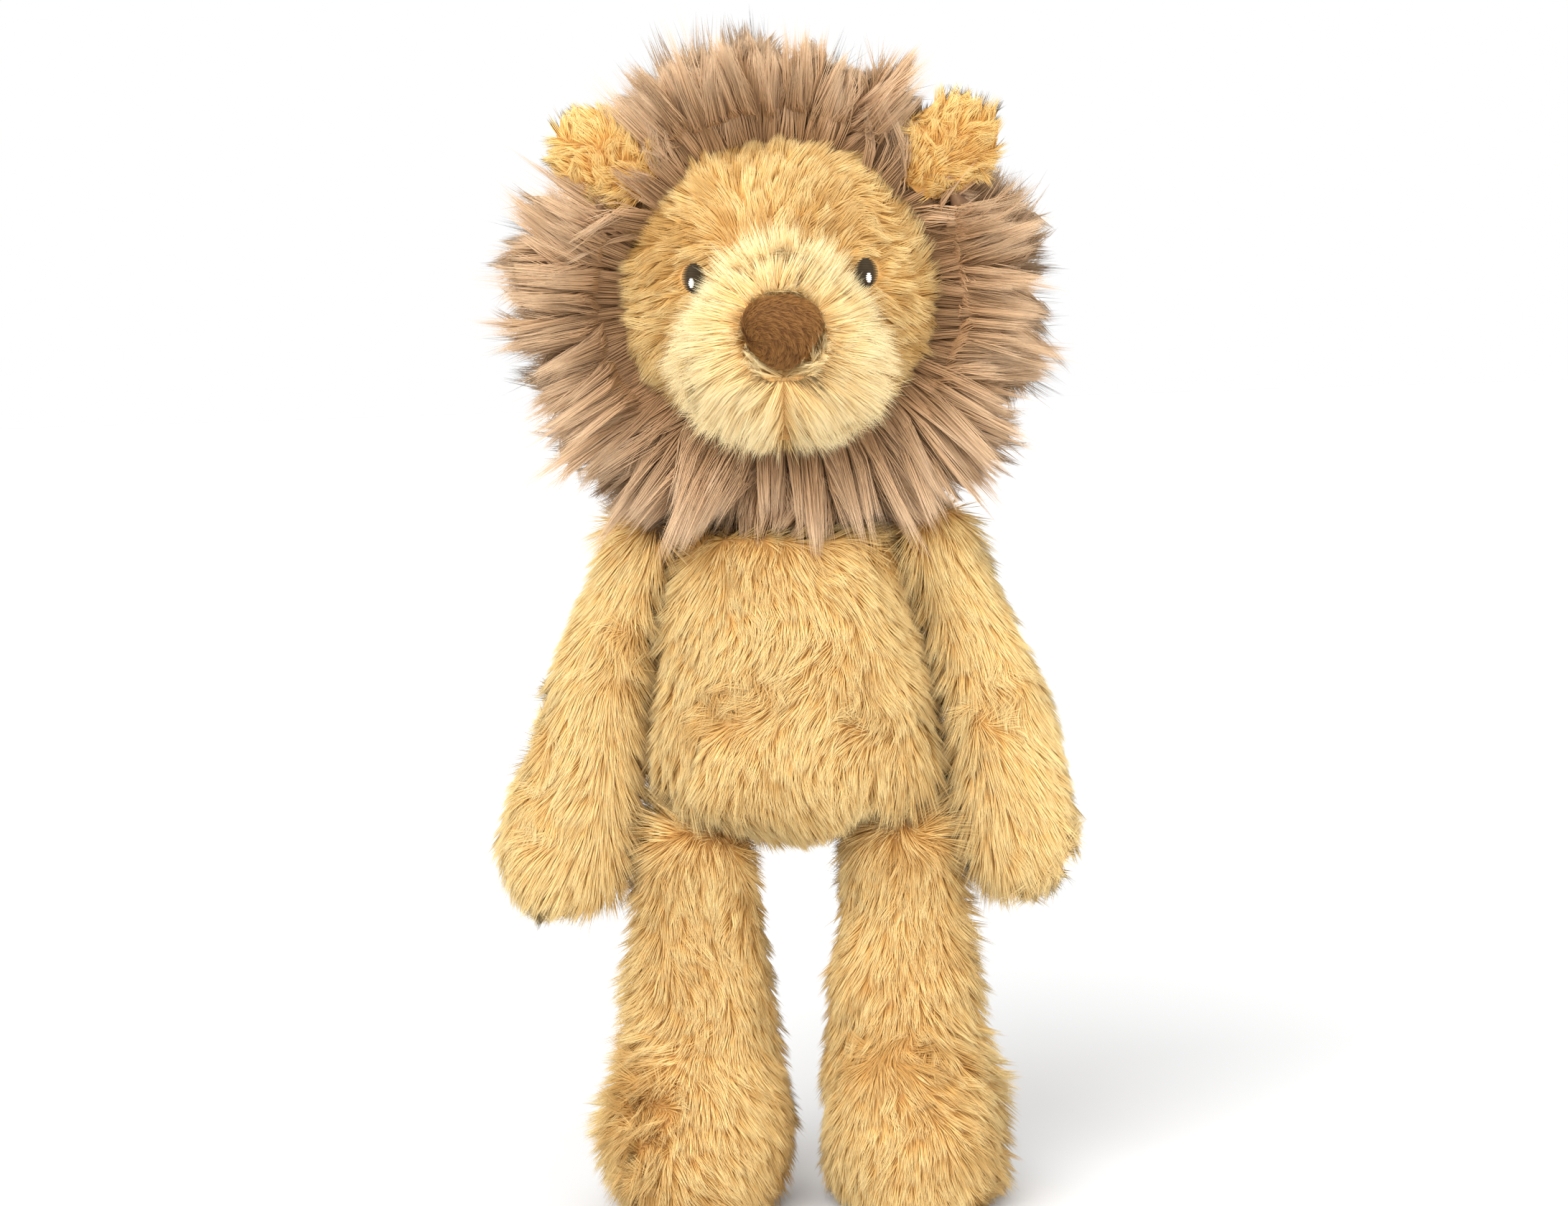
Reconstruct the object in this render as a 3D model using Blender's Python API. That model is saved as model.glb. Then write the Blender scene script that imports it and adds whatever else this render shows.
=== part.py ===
"""Plush lion: a standing soft toy with sewn limbs, a round face and a long mane.

Run with: blender --background --python part.py
Units are metres, +Z is up, the lion faces -Y and its left side is at +X.
The outer surface of each skin lies at the tips of its short pile.
"""
import math

import bmesh
import bpy
from mathutils import Matrix, Vector

# Clearances and cloth
SEAM_GAP = 0.0003
JOINT_GAP = 0.0005
SKIN_THICKNESS = 0.006

# Legs, measured up from the floor and out from each leg's middle
HIP_HEIGHT = 0.119
HIP_HALF_SPACING = 0.0338
HIP_RADIUS = 0.0208
HIP_FOLD = 0.0030
HIP_LIFT_DEGREES = 86.0
LAP_GAP = 0.0007
THIGH_DROP = 0.0270
THIGH_HEIGHT = HIP_HEIGHT - THIGH_DROP
THIGH_HALF_WIDTH = 0.0233
THIGH_FRONT_DEPTH = 0.0185
THIGH_BACK_DEPTH = 0.0205
SHIN_DROP = 0.0590
SHIN_HEIGHT = HIP_HEIGHT - SHIN_DROP
SHIN_HALF_WIDTH = 0.0273
SHIN_FRONT_DEPTH = 0.0290
SHIN_BACK_DEPTH = 0.0235
FOOT_HEIGHT = 0.027
FOOT_HALF_WIDTH = 0.0322
FOOT_FRONT_DEPTH = 0.0450
FOOT_BACK_DEPTH = 0.0270
FOOT_OUTWARD = 0.0022
SOLE_HALF_WIDTH = 0.0235
SOLE_FRONT_DEPTH = 0.0350
SOLE_BACK_DEPTH = 0.0200
SOLE_THICKNESS = 0.0030
FOOT_BAG_HEIGHT = 0.0140

# Torso, from the crotch to the seat of the neck
CROTCH_RISE = 0.0055
SEAT_ROUND_HEIGHT = 0.0335
BELLY_TO_CHEST = 0.0470
CHEST_TO_NECK = 0.0270
CROTCH_HEIGHT = HIP_HEIGHT + CROTCH_RISE
BELLY_HEIGHT = CROTCH_HEIGHT + SEAT_ROUND_HEIGHT
CHEST_HEIGHT = BELLY_HEIGHT + BELLY_TO_CHEST
NECK_SEAT_HEIGHT = CHEST_HEIGHT + CHEST_TO_NECK
BELLY_HALF_WIDTH = 0.0500
BELLY_HALF_DEPTH = 0.0420
CHEST_HALF_WIDTH = 0.0425
CHEST_HALF_DEPTH = 0.0360
NECK_SEAT_HALF_WIDTH = 0.0350
NECK_SEAT_HALF_DEPTH = 0.0310
SEAT_BAG_HEIGHT = 0.0160

# Arms, from the shoulder's ball down to the paw
SHOULDER_DROP = 0.0070
SHOULDER_HEIGHT = NECK_SEAT_HEIGHT - SHOULDER_DROP
SHOULDER_HALF_SPACING = 0.0480
SHOULDER_RADIUS = 0.0142
UPPER_ARM_DROP = 0.0320
UPPER_ARM_HEIGHT = SHOULDER_HEIGHT - UPPER_ARM_DROP
UPPER_ARM_WIDTH = 0.0315
UPPER_ARM_HALF_DEPTH = 0.0158
FOREARM_DROP = 0.0650
FOREARM_HEIGHT = SHOULDER_HEIGHT - FOREARM_DROP
FOREARM_WIDTH = 0.0385
FOREARM_HALF_DEPTH = 0.0180
PAW_DROP = 0.0970
PAW_HEIGHT = SHOULDER_HEIGHT - PAW_DROP
PAW_WIDTH_LEFT = 0.0405
PAW_WIDTH_RIGHT = 0.0480
PAW_HALF_DEPTH = 0.0195
PAW_TIP_LENGTH = 0.0275
PAW_TIP_HEIGHT = PAW_HEIGHT - PAW_TIP_LENGTH
PAW_INNER_GAP = 0.0030
PAW_TIP_OUTWARD = 0.0020
ARM_OPENING_RADIUS = 0.0050

# Neck: a plug with a ball on top that the head rocks on
NECK_PIVOT_DROP = 0.0170
NECK_PIVOT_HEIGHT = NECK_SEAT_HEIGHT - NECK_PIVOT_DROP
NECK_BALL_RADIUS = 0.0446
NECK_HALF_WIDTH = 0.0280
NECK_ROOM_GAP = 0.0009

# Head, measured from its own centre
HEAD_RISE = 0.0740
HEAD_CENTRE_HEIGHT = NECK_SEAT_HEIGHT + HEAD_RISE
HEAD_FORWARD = 0.0080
HEAD_HALF_WIDTH = 0.0545
HEAD_HALF_HEIGHT = 0.0535
HEAD_FRONT_DEPTH = 0.0480
HEAD_BACK_DEPTH = 0.0450

# Muzzle, nose and eyes
MUZZLE_DROP = 0.0120
MUZZLE_HALF_WIDTH = 0.0385
MUZZLE_HALF_HEIGHT = 0.0325
MUZZLE_REACH = 0.0240
MUZZLE_DEPTH = 0.0380
MUZZLE_SEAM_WIDTH = 0.0016
MUZZLE_FILL_GAP = 0.0006
NOSE_RISE = 0.0045
NOSE_HALF_WIDTH = 0.0168
NOSE_HALF_HEIGHT = 0.0122
NOSE_HALF_DEPTH = 0.0075
NOSE_PROUD = 0.0040
EYE_HALF_SPACING = 0.0270
EYE_RISE = 0.0085
EYE_HALF_WIDTH = 0.0040
EYE_HALF_HEIGHT = 0.0047
EYE_HALF_DEPTH = 0.0024
GLINT_HALF_WIDTH = 0.0011
GLINT_HALF_HEIGHT = 0.0015
GLINT_HALF_DEPTH = 0.0006
GLINT_OUTWARD = 0.0008
GLINT_DROP = 0.0014

# Mane hood, measured from the head's centre
MANE_HALF_WIDTH = 0.0855
MANE_RISE = 0.0820
MANE_DROP = 0.0680
MANE_FRONT_EDGE = 0.0250
MANE_CHIN_FORWARD = 0.0080
MANE_DISH_DEPTH = 0.0400
MANE_BACK_DEPTH = 0.0600
MANE_EDGE_THICKNESS = 0.0090

# Ears, measured from the head's centre
EAR_RADIAL_DISTANCE = 0.0710
EAR_ANGLE_DEGREES = 50.0
EAR_FORWARD = 0.0140
EAR_HALF_LENGTH = 0.0205
EAR_HALF_WIDTH = 0.0175
EAR_FRONT_THICKNESS = 0.0065
EAR_BACK_THICKNESS = 0.0055
EAR_SLIT_GAP = 0.0009

# Tail, out of the low back
TAIL_ROOT_RISE = 0.0255
TAIL_ROOT_HEIGHT = CROTCH_HEIGHT + TAIL_ROOT_RISE
TAIL_ROOT_RADIUS = 0.0085
TAIL_RADIUS = 0.0070
TAIL_LENGTH = 0.0360
TAIL_ANGLE_DEGREES = 60.0
TUFT_LENGTH = 0.0300
TUFT_RADIUS = 0.0115
TUFT_OVERLAP = 0.0060

TAIL_SKIN_THICKNESS = 0.0030
WELD_DISTANCE = 0.000001

# Outlines, as shares of the sizes above
NECK_SHOULDER_SHARE = 0.6
NOSE_TAPER_SHARE = 0.45
MUZZLE_TAPER_SHARE = 0.32
MANE_LOW_ROUNDNESS_SHARE = 0.90
MANE_PROFILE_SHARES = (
    (0.06, 0.93), (0.20, 1.0), (0.38, 0.98), (0.56, 0.89),
    (0.73, 0.74), (0.87, 0.53), (0.96, 0.29),
)
FOOT_LEVEL_SHARES = (0.0, 0.06, 0.22, 0.50)
TUFT_PROFILE_SHARES = ((0.10, 0.75), (0.30, 1.0), (0.55, 0.95), (0.80, 0.62), (0.93, 0.32))

# Facets
MANE_SEGMENTS = 26
BODY_SEGMENTS = 20
HEAD_SEGMENTS = 24
LIMB_SEGMENTS = 16
SMALL_SEGMENTS = 12
BALL_SEGMENTS = 20
NECK_SEGMENTS = 32

# Roundness of the ends: 1 is an ellipse, less is squarer
BELLY_ROUNDNESS_SHARE = 0.86
PAW_ROUNDNESS_SHARE = 0.92
HEAD_ROUNDNESS_SHARE = 0.93

SIDES = (("left", 1.0), ("right", -1.0))

GOLD_PILE = (0.73, 0.48, 0.19)
CREAM_PILE = (0.82, 0.60, 0.30)
MANE_PILE = (0.36, 0.23, 0.15)
EAR_PILE = (0.72, 0.42, 0.12)
NOSE_VELOUR = (0.13, 0.055, 0.018)
EYE_THREAD = (0.03, 0.018, 0.012)
WHITE_THREAD = (0.85, 0.85, 0.83)
FIBRE_WHITE = (0.88, 0.88, 0.86)
BAG_CLOTH = (0.70, 0.68, 0.62)


def clear_scene():
    for item in list(bpy.data.objects):
        bpy.data.objects.remove(item, do_unlink=True)


def finish_material(name, colour, roughness):
    """One Principled material for each piece."""
    made = bpy.data.materials.new(name)
    made.use_nodes = True
    shader = made.node_tree.nodes["Principled BSDF"]
    shader.inputs["Base Color"].default_value = (*colour, 1.0)
    shader.inputs["Roughness"].default_value = roughness
    shader.inputs["Metallic"].default_value = 0.0
    made.diffuse_color = (*colour, 1.0)
    return made


def blend_stations(stations, height):
    """Smooth curve through rows of (height, value, value, ...), lowest first."""
    if height <= stations[0][0]:
        return stations[0][1:]
    if height >= stations[-1][0]:
        return stations[-1][1:]
    upper = next(i for i, row in enumerate(stations) if row[0] > height)
    low_row, high_row = stations[upper - 1], stations[upper]
    span = high_row[0] - low_row[0]
    step = (height - low_row[0]) / span
    values = []
    for column in range(1, len(low_row)):
        low_slope = station_slope(stations, upper - 1, column)
        high_slope = station_slope(stations, upper, column)
        value = (
            (1 + 2 * step) * (1 - step) ** 2 * low_row[column]
            + step * (1 - step) ** 2 * span * low_slope
            + step ** 2 * (3 - 2 * step) * high_row[column]
            + step ** 2 * (step - 1) * span * high_slope
        )
        values.append(value)
    return tuple(values)


def station_slope(stations, index, column):
    before = stations[max(index - 1, 0)]
    after = stations[min(index + 1, len(stations) - 1)]
    return (after[column] - before[column]) / (after[0] - before[0])


def oval_ring(height, middle_x, middle_y, half_width, front, back, segments):
    """Points of a level oval whose front and back may differ in depth."""
    points = []
    for index in range(segments):
        angle = math.tau * index / segments
        depth = front if math.sin(angle) > 0 else back
        x = middle_x + half_width * math.cos(angle)
        y = middle_y - depth * math.sin(angle)
        points.append(Vector((x, y, height)))
    return points


def spread(low, high, count):
    """Evenly spaced heights, both ends included."""
    return [low + (high - low) * index / (count - 1) for index in range(count)]


def dome_steps(count):
    """Angles from just past the equator up to just short of the pole."""
    return [math.pi / 2 * (index + 1) / (count + 1) for index in range(count)]


def object_from_mesh(name, mesh_data, colour, roughness=0.95):
    mesh = bpy.data.meshes.new(name)
    bmesh.ops.recalc_face_normals(mesh_data, faces=mesh_data.faces)
    mesh_data.to_mesh(mesh)
    mesh_data.free()
    made = bpy.data.objects.new(name, mesh)
    bpy.context.scene.collection.objects.link(made)
    mesh.materials.append(finish_material(name, colour, roughness))
    mesh.shade_smooth()
    return made


def add_rings(mesh_data, rings):
    return [[mesh_data.verts.new(point) for point in ring] for ring in rings]


def skin_between(mesh_data, rings):
    for low, high in zip(rings, rings[1:]):
        count = len(low)
        for index in range(count):
            after = (index + 1) % count
            mesh_data.faces.new((low[index], low[after], high[after], high[index]))


def close_on_pole(mesh_data, ring, pole):
    tip = mesh_data.verts.new(pole)
    count = len(ring)
    for index in range(count):
        mesh_data.faces.new((ring[index], ring[(index + 1) % count], tip))


def closed_form(name, rings, low_pole, high_pole, colour):
    """A solid through level rings; a missing pole leaves that end flat."""
    mesh_data = bmesh.new()
    placed = add_rings(mesh_data, rings)
    skin_between(mesh_data, placed)
    for ring, pole in ((placed[0], low_pole), (placed[-1], high_pole)):
        if pole is None:
            mesh_data.faces.new(ring)
        else:
            close_on_pole(mesh_data, ring, pole)
    return object_from_mesh(name, mesh_data, colour)


def open_skin(name, outer_rings, outer_pole, inner_rings, inner_pole, colour):
    """A cloth wall: both rows of rings run from the rim of the one opening to a pole."""
    mesh_data = bmesh.new()
    outer = add_rings(mesh_data, outer_rings)
    inner = add_rings(mesh_data, inner_rings)
    skin_between(mesh_data, outer)
    skin_between(mesh_data, inner)
    skin_between(mesh_data, [outer[0], inner[0]])
    close_on_pole(mesh_data, outer[-1], outer_pole)
    close_on_pole(mesh_data, inner[-1], inner_pole)
    return object_from_mesh(name, mesh_data, colour)


def as_cutter(piece):
    piece.hide_render = True
    piece.display_type = "WIRE"
    return piece


def leave_room(piece, cutter):
    cut = piece.modifiers.new(f"room for {cutter.name}", "BOOLEAN")
    cut.operation = "DIFFERENCE"
    cut.solver = "EXACT"
    cut.object = cutter


def egg(name, centre, halves, colour, segments, back_depth=None, turn=None):
    """A ball with its own half sizes, and another depth at the back if one is given."""
    rings = segments // 2
    mesh_data = bmesh.new()
    bmesh.ops.create_uvsphere(mesh_data, u_segments=segments, v_segments=rings, radius=1.0)
    for vert in mesh_data.verts:
        depth = halves[1] if vert.co.y < 0 or back_depth is None else back_depth
        vert.co = Vector((vert.co.x * halves[0], vert.co.y * depth, vert.co.z * halves[2]))
    if turn is not None:
        bmesh.ops.transform(mesh_data, matrix=turn, verts=mesh_data.verts)
    bmesh.ops.translate(mesh_data, vec=centre, verts=mesh_data.verts)
    return object_from_mesh(name, mesh_data, colour)


def hip_place(side):
    return Vector((side * HIP_HALF_SPACING, 0, HIP_HEIGHT))


def shoulder_place(side):
    return Vector((side * SHOULDER_HALF_SPACING, 0, SHOULDER_HEIGHT))


def leg_profile(side, height, inset):
    """Middle, half width, front and back depth of a leg at one height below the hip."""
    stations = (
        (FOOT_HEIGHT, FOOT_HALF_WIDTH, FOOT_FRONT_DEPTH, FOOT_BACK_DEPTH, FOOT_OUTWARD),
        (SHIN_HEIGHT, SHIN_HALF_WIDTH, SHIN_FRONT_DEPTH, SHIN_BACK_DEPTH, 0.0),
        (THIGH_HEIGHT, THIGH_HALF_WIDTH, THIGH_FRONT_DEPTH, THIGH_BACK_DEPTH, 0.0),
        (HIP_HEIGHT, HIP_RADIUS, HIP_RADIUS, HIP_RADIUS, 0.0),
    )
    half_width, front, back, outward = blend_stations(stations, height)
    if height < FOOT_HEIGHT:
        swell = math.sqrt(1 - (1 - height / FOOT_HEIGHT) ** 2)
        half_width = SOLE_HALF_WIDTH + (FOOT_HALF_WIDTH - SOLE_HALF_WIDTH) * swell
        front = SOLE_FRONT_DEPTH + (FOOT_FRONT_DEPTH - SOLE_FRONT_DEPTH) * swell
        back = SOLE_BACK_DEPTH + (FOOT_BACK_DEPTH - SOLE_BACK_DEPTH) * swell
    middle = side * (HIP_HALF_SPACING + outward)
    return middle, half_width - inset, front - inset, back - inset


def leg_ring(side, height, inset):
    middle, half_width, front, back = leg_profile(side, height, inset)
    return oval_ring(height, middle, 0, half_width, front, back, LIMB_SEGMENTS)


def leg_rings(side, inset, levels, dome_count):
    """Rings at the given heights, then over the ball of the hip."""
    rings = [leg_ring(side, height, inset) for height in levels]
    radius = HIP_RADIUS - inset
    for angle in dome_steps(dome_count):
        height = HIP_HEIGHT + radius * math.sin(angle)
        reach = radius * math.cos(angle)
        middle = side * HIP_HALF_SPACING
        rings.append(oval_ring(height, middle, 0, reach, reach, reach, LIMB_SEGMENTS))
    return rings


def hip_pole(side, inset):
    return hip_place(side) + Vector((0, 0, HIP_RADIUS - inset))


def make_leg(word, side):
    """Skin open at the sole, the panel that closes it, fibre and a bag of pellets."""
    room = SKIN_THICKNESS + SEAM_GAP
    bag_low = SOLE_THICKNESS + SEAM_GAP
    bag_high = bag_low + FOOT_BAG_HEIGHT
    fill_levels = spread(bag_high + SEAM_GAP, HIP_HEIGHT, 5)
    bag_levels = spread(bag_low, bag_high, 3)
    sole_levels = [0.0, SOLE_THICKNESS]
    foot_levels = [FOOT_HEIGHT * share for share in FOOT_LEVEL_SHARES]
    skin = open_skin(
        f"leg_{word}_skin",
        leg_rings(side, 0.0, foot_levels + spread(FOOT_HEIGHT, HIP_HEIGHT, 7), 3),
        hip_pole(side, 0.0),
        leg_rings(side, SKIN_THICKNESS, sole_levels + bag_levels + fill_levels, 2),
        hip_pole(side, SKIN_THICKNESS),
        GOLD_PILE,
    )
    sole_rings = [leg_ring(side, height, room) for height in sole_levels]
    sole = closed_form(f"leg_{word}_sole", sole_rings, None, None, GOLD_PILE)
    bag_rings = [leg_ring(side, height, room) for height in bag_levels]
    bag = closed_form(f"leg_{word}_pellet_bag", bag_rings, None, None, BAG_CLOTH)
    fill_rings = leg_rings(side, room, fill_levels, 2)
    stuffing = closed_form(
        f"leg_{word}_stuffing", fill_rings, None, hip_pole(side, room), FIBRE_WHITE,
    )
    return [skin, sole, bag, stuffing]


def raised_thigh(word, side):
    """The room that a leg needs in the torso when it is lifted to sit."""
    levels = spread(SHIN_HEIGHT, HIP_HEIGHT, 5)
    rings = leg_rings(side, -LAP_GAP, levels, 3)
    thigh = closed_form(f"lap room {word}", rings, None, hip_pole(side, -LAP_GAP), GOLD_PILE)
    place = Matrix.Translation(hip_place(side))
    turn = Matrix.Rotation(-math.radians(HIP_LIFT_DEGREES), 4, "X")
    thigh.data.transform(place @ turn @ place.inverted())
    return as_cutter(thigh)


def torso_half_width(height):
    """Half width of the torso's side seam, before the seat rounds it off."""
    return blend_stations(torso_stations(), height)[0]


def torso_stations():
    return (
        (BELLY_HEIGHT, BELLY_HALF_WIDTH, BELLY_HALF_DEPTH),
        (CHEST_HEIGHT, CHEST_HALF_WIDTH, CHEST_HALF_DEPTH),
        (NECK_SEAT_HEIGHT, NECK_SEAT_HALF_WIDTH, NECK_SEAT_HALF_DEPTH),
    )


def torso_ring(height, inset, share=1.0):
    half_width, half_depth = blend_stations(torso_stations(), height)
    width = (half_width - inset) * share
    depth = (half_depth - inset) * share
    return oval_ring(height, 0, 0, width, depth, depth, BODY_SEGMENTS)


def torso_rings(inset, steps, angles):
    """Rings from the neck's seat down, then round under the seat of the toy."""
    levels = spread(NECK_SEAT_HEIGHT, BELLY_HEIGHT, steps)
    rings = [torso_ring(height, inset) for height in levels]
    return rings + [seat_ring(angle, inset) for angle in angles]


def seat_pole(inset):
    return Vector((0, 0, CROTCH_HEIGHT + inset))


def seat_angle(height, inset):
    """How far round under the belly a height lies, as an angle below level."""
    return math.asin((BELLY_HEIGHT - height) / (BELLY_HEIGHT - CROTCH_HEIGHT - inset))


def seat_ring(angle, inset):
    drop = BELLY_HEIGHT - CROTCH_HEIGHT - inset
    share = math.cos(angle) ** BELLY_ROUNDNESS_SHARE
    return torso_ring(BELLY_HEIGHT - drop * math.sin(angle), inset, share)


def make_torso():
    """Pear-shaped skin open at the neck, with fibre over a bag of pellets."""
    room = SKIN_THICKNESS + SEAM_GAP
    bag_top = CROTCH_HEIGHT + SKIN_THICKNESS + SEAT_BAG_HEIGHT
    high_angle = seat_angle(bag_top + SEAM_GAP, room)
    fill_angles = [high_angle / 2, high_angle]
    bag_angles = spread(seat_angle(bag_top, room), math.pi / 2, 5)[:-1]
    skin = open_skin(
        "torso_skin",
        torso_rings(0.0, 8, dome_steps(6)),
        seat_pole(0.0),
        torso_rings(SKIN_THICKNESS, 6, fill_angles + bag_angles),
        seat_pole(SKIN_THICKNESS),
        GOLD_PILE,
    )
    bag = closed_form(
        "seat_pellet_bag", [seat_ring(angle, room) for angle in bag_angles],
        None, seat_pole(room), BAG_CLOTH,
    )
    stuffing = closed_form(
        "torso_stuffing", torso_rings(room, 6, fill_angles), None, None, FIBRE_WHITE,
    )
    return [skin, bag, stuffing]


def paw_width(side):
    """The right paw is filled a little fuller than the left."""
    return PAW_WIDTH_LEFT if side > 0 else PAW_WIDTH_RIGHT


def arm_edges(side, height):
    """Inner and outer edge of an arm and its half depth at one height under the shoulder."""
    beside_torso = torso_half_width(UPPER_ARM_HEIGHT) + JOINT_GAP
    beside_belly = torso_half_width(FOREARM_HEIGHT) + JOINT_GAP
    beside_hip = BELLY_HALF_WIDTH + PAW_INNER_GAP
    ball_inner = SHOULDER_HALF_SPACING - SHOULDER_RADIUS
    ball_outer = SHOULDER_HALF_SPACING + SHOULDER_RADIUS
    stations = (
        (PAW_HEIGHT, beside_hip, beside_hip + paw_width(side), PAW_HALF_DEPTH),
        (FOREARM_HEIGHT, beside_belly, beside_belly + FOREARM_WIDTH, FOREARM_HALF_DEPTH),
        (UPPER_ARM_HEIGHT, beside_torso, beside_torso + UPPER_ARM_WIDTH, UPPER_ARM_HALF_DEPTH),
        (SHOULDER_HEIGHT, ball_inner, ball_outer, SHOULDER_RADIUS),
    )
    return blend_stations(stations, height)


def swing_limit(reach):
    """How near the middle a point of the arm may lie at this distance from its axis."""
    lowest = max(SHOULDER_HEIGHT - reach, BELLY_HEIGHT)
    return torso_half_width(lowest) + JOINT_GAP


def hold_off_torso(side, point, inset):
    """Moves a point of the arm out to where the torso leaves it room to swing."""
    away = point - shoulder_place(side)
    if away.length <= SHOULDER_RADIUS + JOINT_GAP:
        return point
    reach = math.hypot(away.y, away.z)
    nearest = swing_limit(reach) + inset
    if side * point.x < nearest:
        return Vector((side * nearest, point.y, point.z))
    return point


def arm_ring(side, height, inset, share=1.0, outward=0.0):
    inner, outer, half_depth = arm_edges(side, height)
    middle = side * ((inner + outer) / 2 + outward)
    half_width = ((outer - inner) / 2 - inset) * share
    depth = (half_depth - inset) * share
    ring = oval_ring(height, middle, 0, half_width, depth, depth, LIMB_SEGMENTS)
    return [hold_off_torso(side, point, inset) for point in ring]


def arm_rings(side, inset, opening, steps, dome_count):
    """Rings from the opening on top of the shoulder down to the tip of the paw."""
    rings = []
    radius = SHOULDER_RADIUS - inset
    top = math.acos(opening / radius)
    for angle in spread(top, 0.0, dome_count + 1)[:-1]:
        height = SHOULDER_HEIGHT + radius * math.sin(angle)
        reach = radius * math.cos(angle)
        middle = side * SHOULDER_HALF_SPACING
        rings.append(oval_ring(height, middle, 0, reach, reach, reach, LIMB_SEGMENTS))
    rings += [arm_ring(side, height, inset) for height in spread(SHOULDER_HEIGHT, PAW_HEIGHT, steps)]
    drop = PAW_HEIGHT - PAW_TIP_HEIGHT - inset
    for angle in dome_steps(3):
        share = math.cos(angle) ** PAW_ROUNDNESS_SHARE
        height = PAW_HEIGHT - drop * math.sin(angle)
        ring = arm_ring(side, PAW_HEIGHT, inset, share, PAW_TIP_OUTWARD * math.sin(angle))
        rings.append([Vector((point.x, point.y, height)) for point in ring])
    return rings


def paw_pole(side, inset):
    inner, outer, _ = arm_edges(side, PAW_HEIGHT)
    middle = (inner + outer) / 2 + PAW_TIP_OUTWARD
    return Vector((side * middle, 0, PAW_TIP_HEIGHT + inset))


def make_arm(word, side):
    """Skin open at the top of its ball, where it is turned and filled, and its fibre."""
    skin = open_skin(
        f"arm_{word}_skin",
        arm_rings(side, 0.0, ARM_OPENING_RADIUS, 9, 3),
        paw_pole(side, 0.0),
        arm_rings(side, SKIN_THICKNESS, ARM_OPENING_RADIUS, 5, 2),
        paw_pole(side, SKIN_THICKNESS),
        GOLD_PILE,
    )
    room = SKIN_THICKNESS + SEAM_GAP
    stuffing = closed_form(
        f"arm_{word}_stuffing",
        arm_rings(side, room, ARM_OPENING_RADIUS - SEAM_GAP, 5, 2),
        None, paw_pole(side, room), FIBRE_WHITE,
    )
    return [skin, stuffing]


def neck_pivot():
    return Vector((0, 0, NECK_PIVOT_HEIGHT))


def head_centre():
    return Vector((0, -HEAD_FORWARD, HEAD_CENTRE_HEIGHT))


def head_point(right, back, up):
    """A place given from the head's own centre."""
    return head_centre() + Vector((right, back, up))


def make_neck():
    """A round plug between torso and head: a ball on top, cut flat at the torso's seat."""
    low = NECK_SEAT_HEIGHT + SEAM_GAP
    inner_width = NECK_HALF_WIDTH - SKIN_THICKNESS
    rim = math.asin(NECK_HALF_WIDTH / NECK_BALL_RADIUS)
    outer = [round_ring(low, NECK_HALF_WIDTH)]
    for angle in spread(rim, 0.0, 6)[:-1]:
        reach = NECK_BALL_RADIUS * math.sin(angle)
        outer.append(round_ring(NECK_PIVOT_HEIGHT + NECK_BALL_RADIUS * math.cos(angle), reach))
    top = NECK_PIVOT_HEIGHT + NECK_BALL_RADIUS
    inner_top = top - SKIN_THICKNESS
    shoulder = low + (inner_top - low) * NECK_SHOULDER_SHARE
    skin = open_skin(
        "neck_skin", outer, Vector((0, 0, top)),
        [round_ring(low, inner_width), round_ring(shoulder, inner_width)],
        Vector((0, 0, inner_top)), MANE_PILE,
    )
    room = inner_width - SEAM_GAP
    stuffing = closed_form(
        "neck_stuffing", [round_ring(low, room), round_ring(shoulder - SEAM_GAP, room)],
        None, Vector((0, 0, inner_top - SEAM_GAP * 2)), FIBRE_WHITE,
    )
    return [skin, stuffing]


def round_ring(height, radius):
    return oval_ring(height, 0, 0, radius, radius, radius, BODY_SEGMENTS)


def head_rings(inset, count):
    """Level rings of the head, from the chin up to the crown."""
    rings = []
    for index in range(1, count + 1):
        angle = math.pi * index / (count + 1)
        share = math.sin(angle) ** HEAD_ROUNDNESS_SHARE
        height = HEAD_CENTRE_HEIGHT - (HEAD_HALF_HEIGHT - inset) * math.cos(angle)
        width = (HEAD_HALF_WIDTH - inset) * share
        front = (HEAD_FRONT_DEPTH - inset) * share
        back = (HEAD_BACK_DEPTH - inset) * share
        rings.append(oval_ring(height, 0, -HEAD_FORWARD, width, front, back, HEAD_SEGMENTS))
    return rings


def head_form(name, inset, count, colour):
    reach = HEAD_HALF_HEIGHT - inset
    low = head_point(0, 0, -reach)
    high = head_point(0, 0, reach)
    return closed_form(name, head_rings(inset, count), low, high, colour)


def muzzle_form(name, inset, segments, colour):
    """An egg, narrower towards the eyes."""
    halves = (MUZZLE_HALF_WIDTH - inset, MUZZLE_DEPTH - inset, MUZZLE_HALF_HEIGHT - inset)
    made = egg(name, muzzle_centre(), halves, colour, segments)
    for vert in made.data.vertices:
        up = (vert.co.z - muzzle_centre().z) / halves[2]
        vert.co.x *= 1 - MUZZLE_TAPER_SHARE * (1 + up) / 2
    return made


def muzzle_centre():
    return head_point(0, -(HEAD_FRONT_DEPTH + MUZZLE_REACH - MUZZLE_DEPTH), -MUZZLE_DROP)


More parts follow.
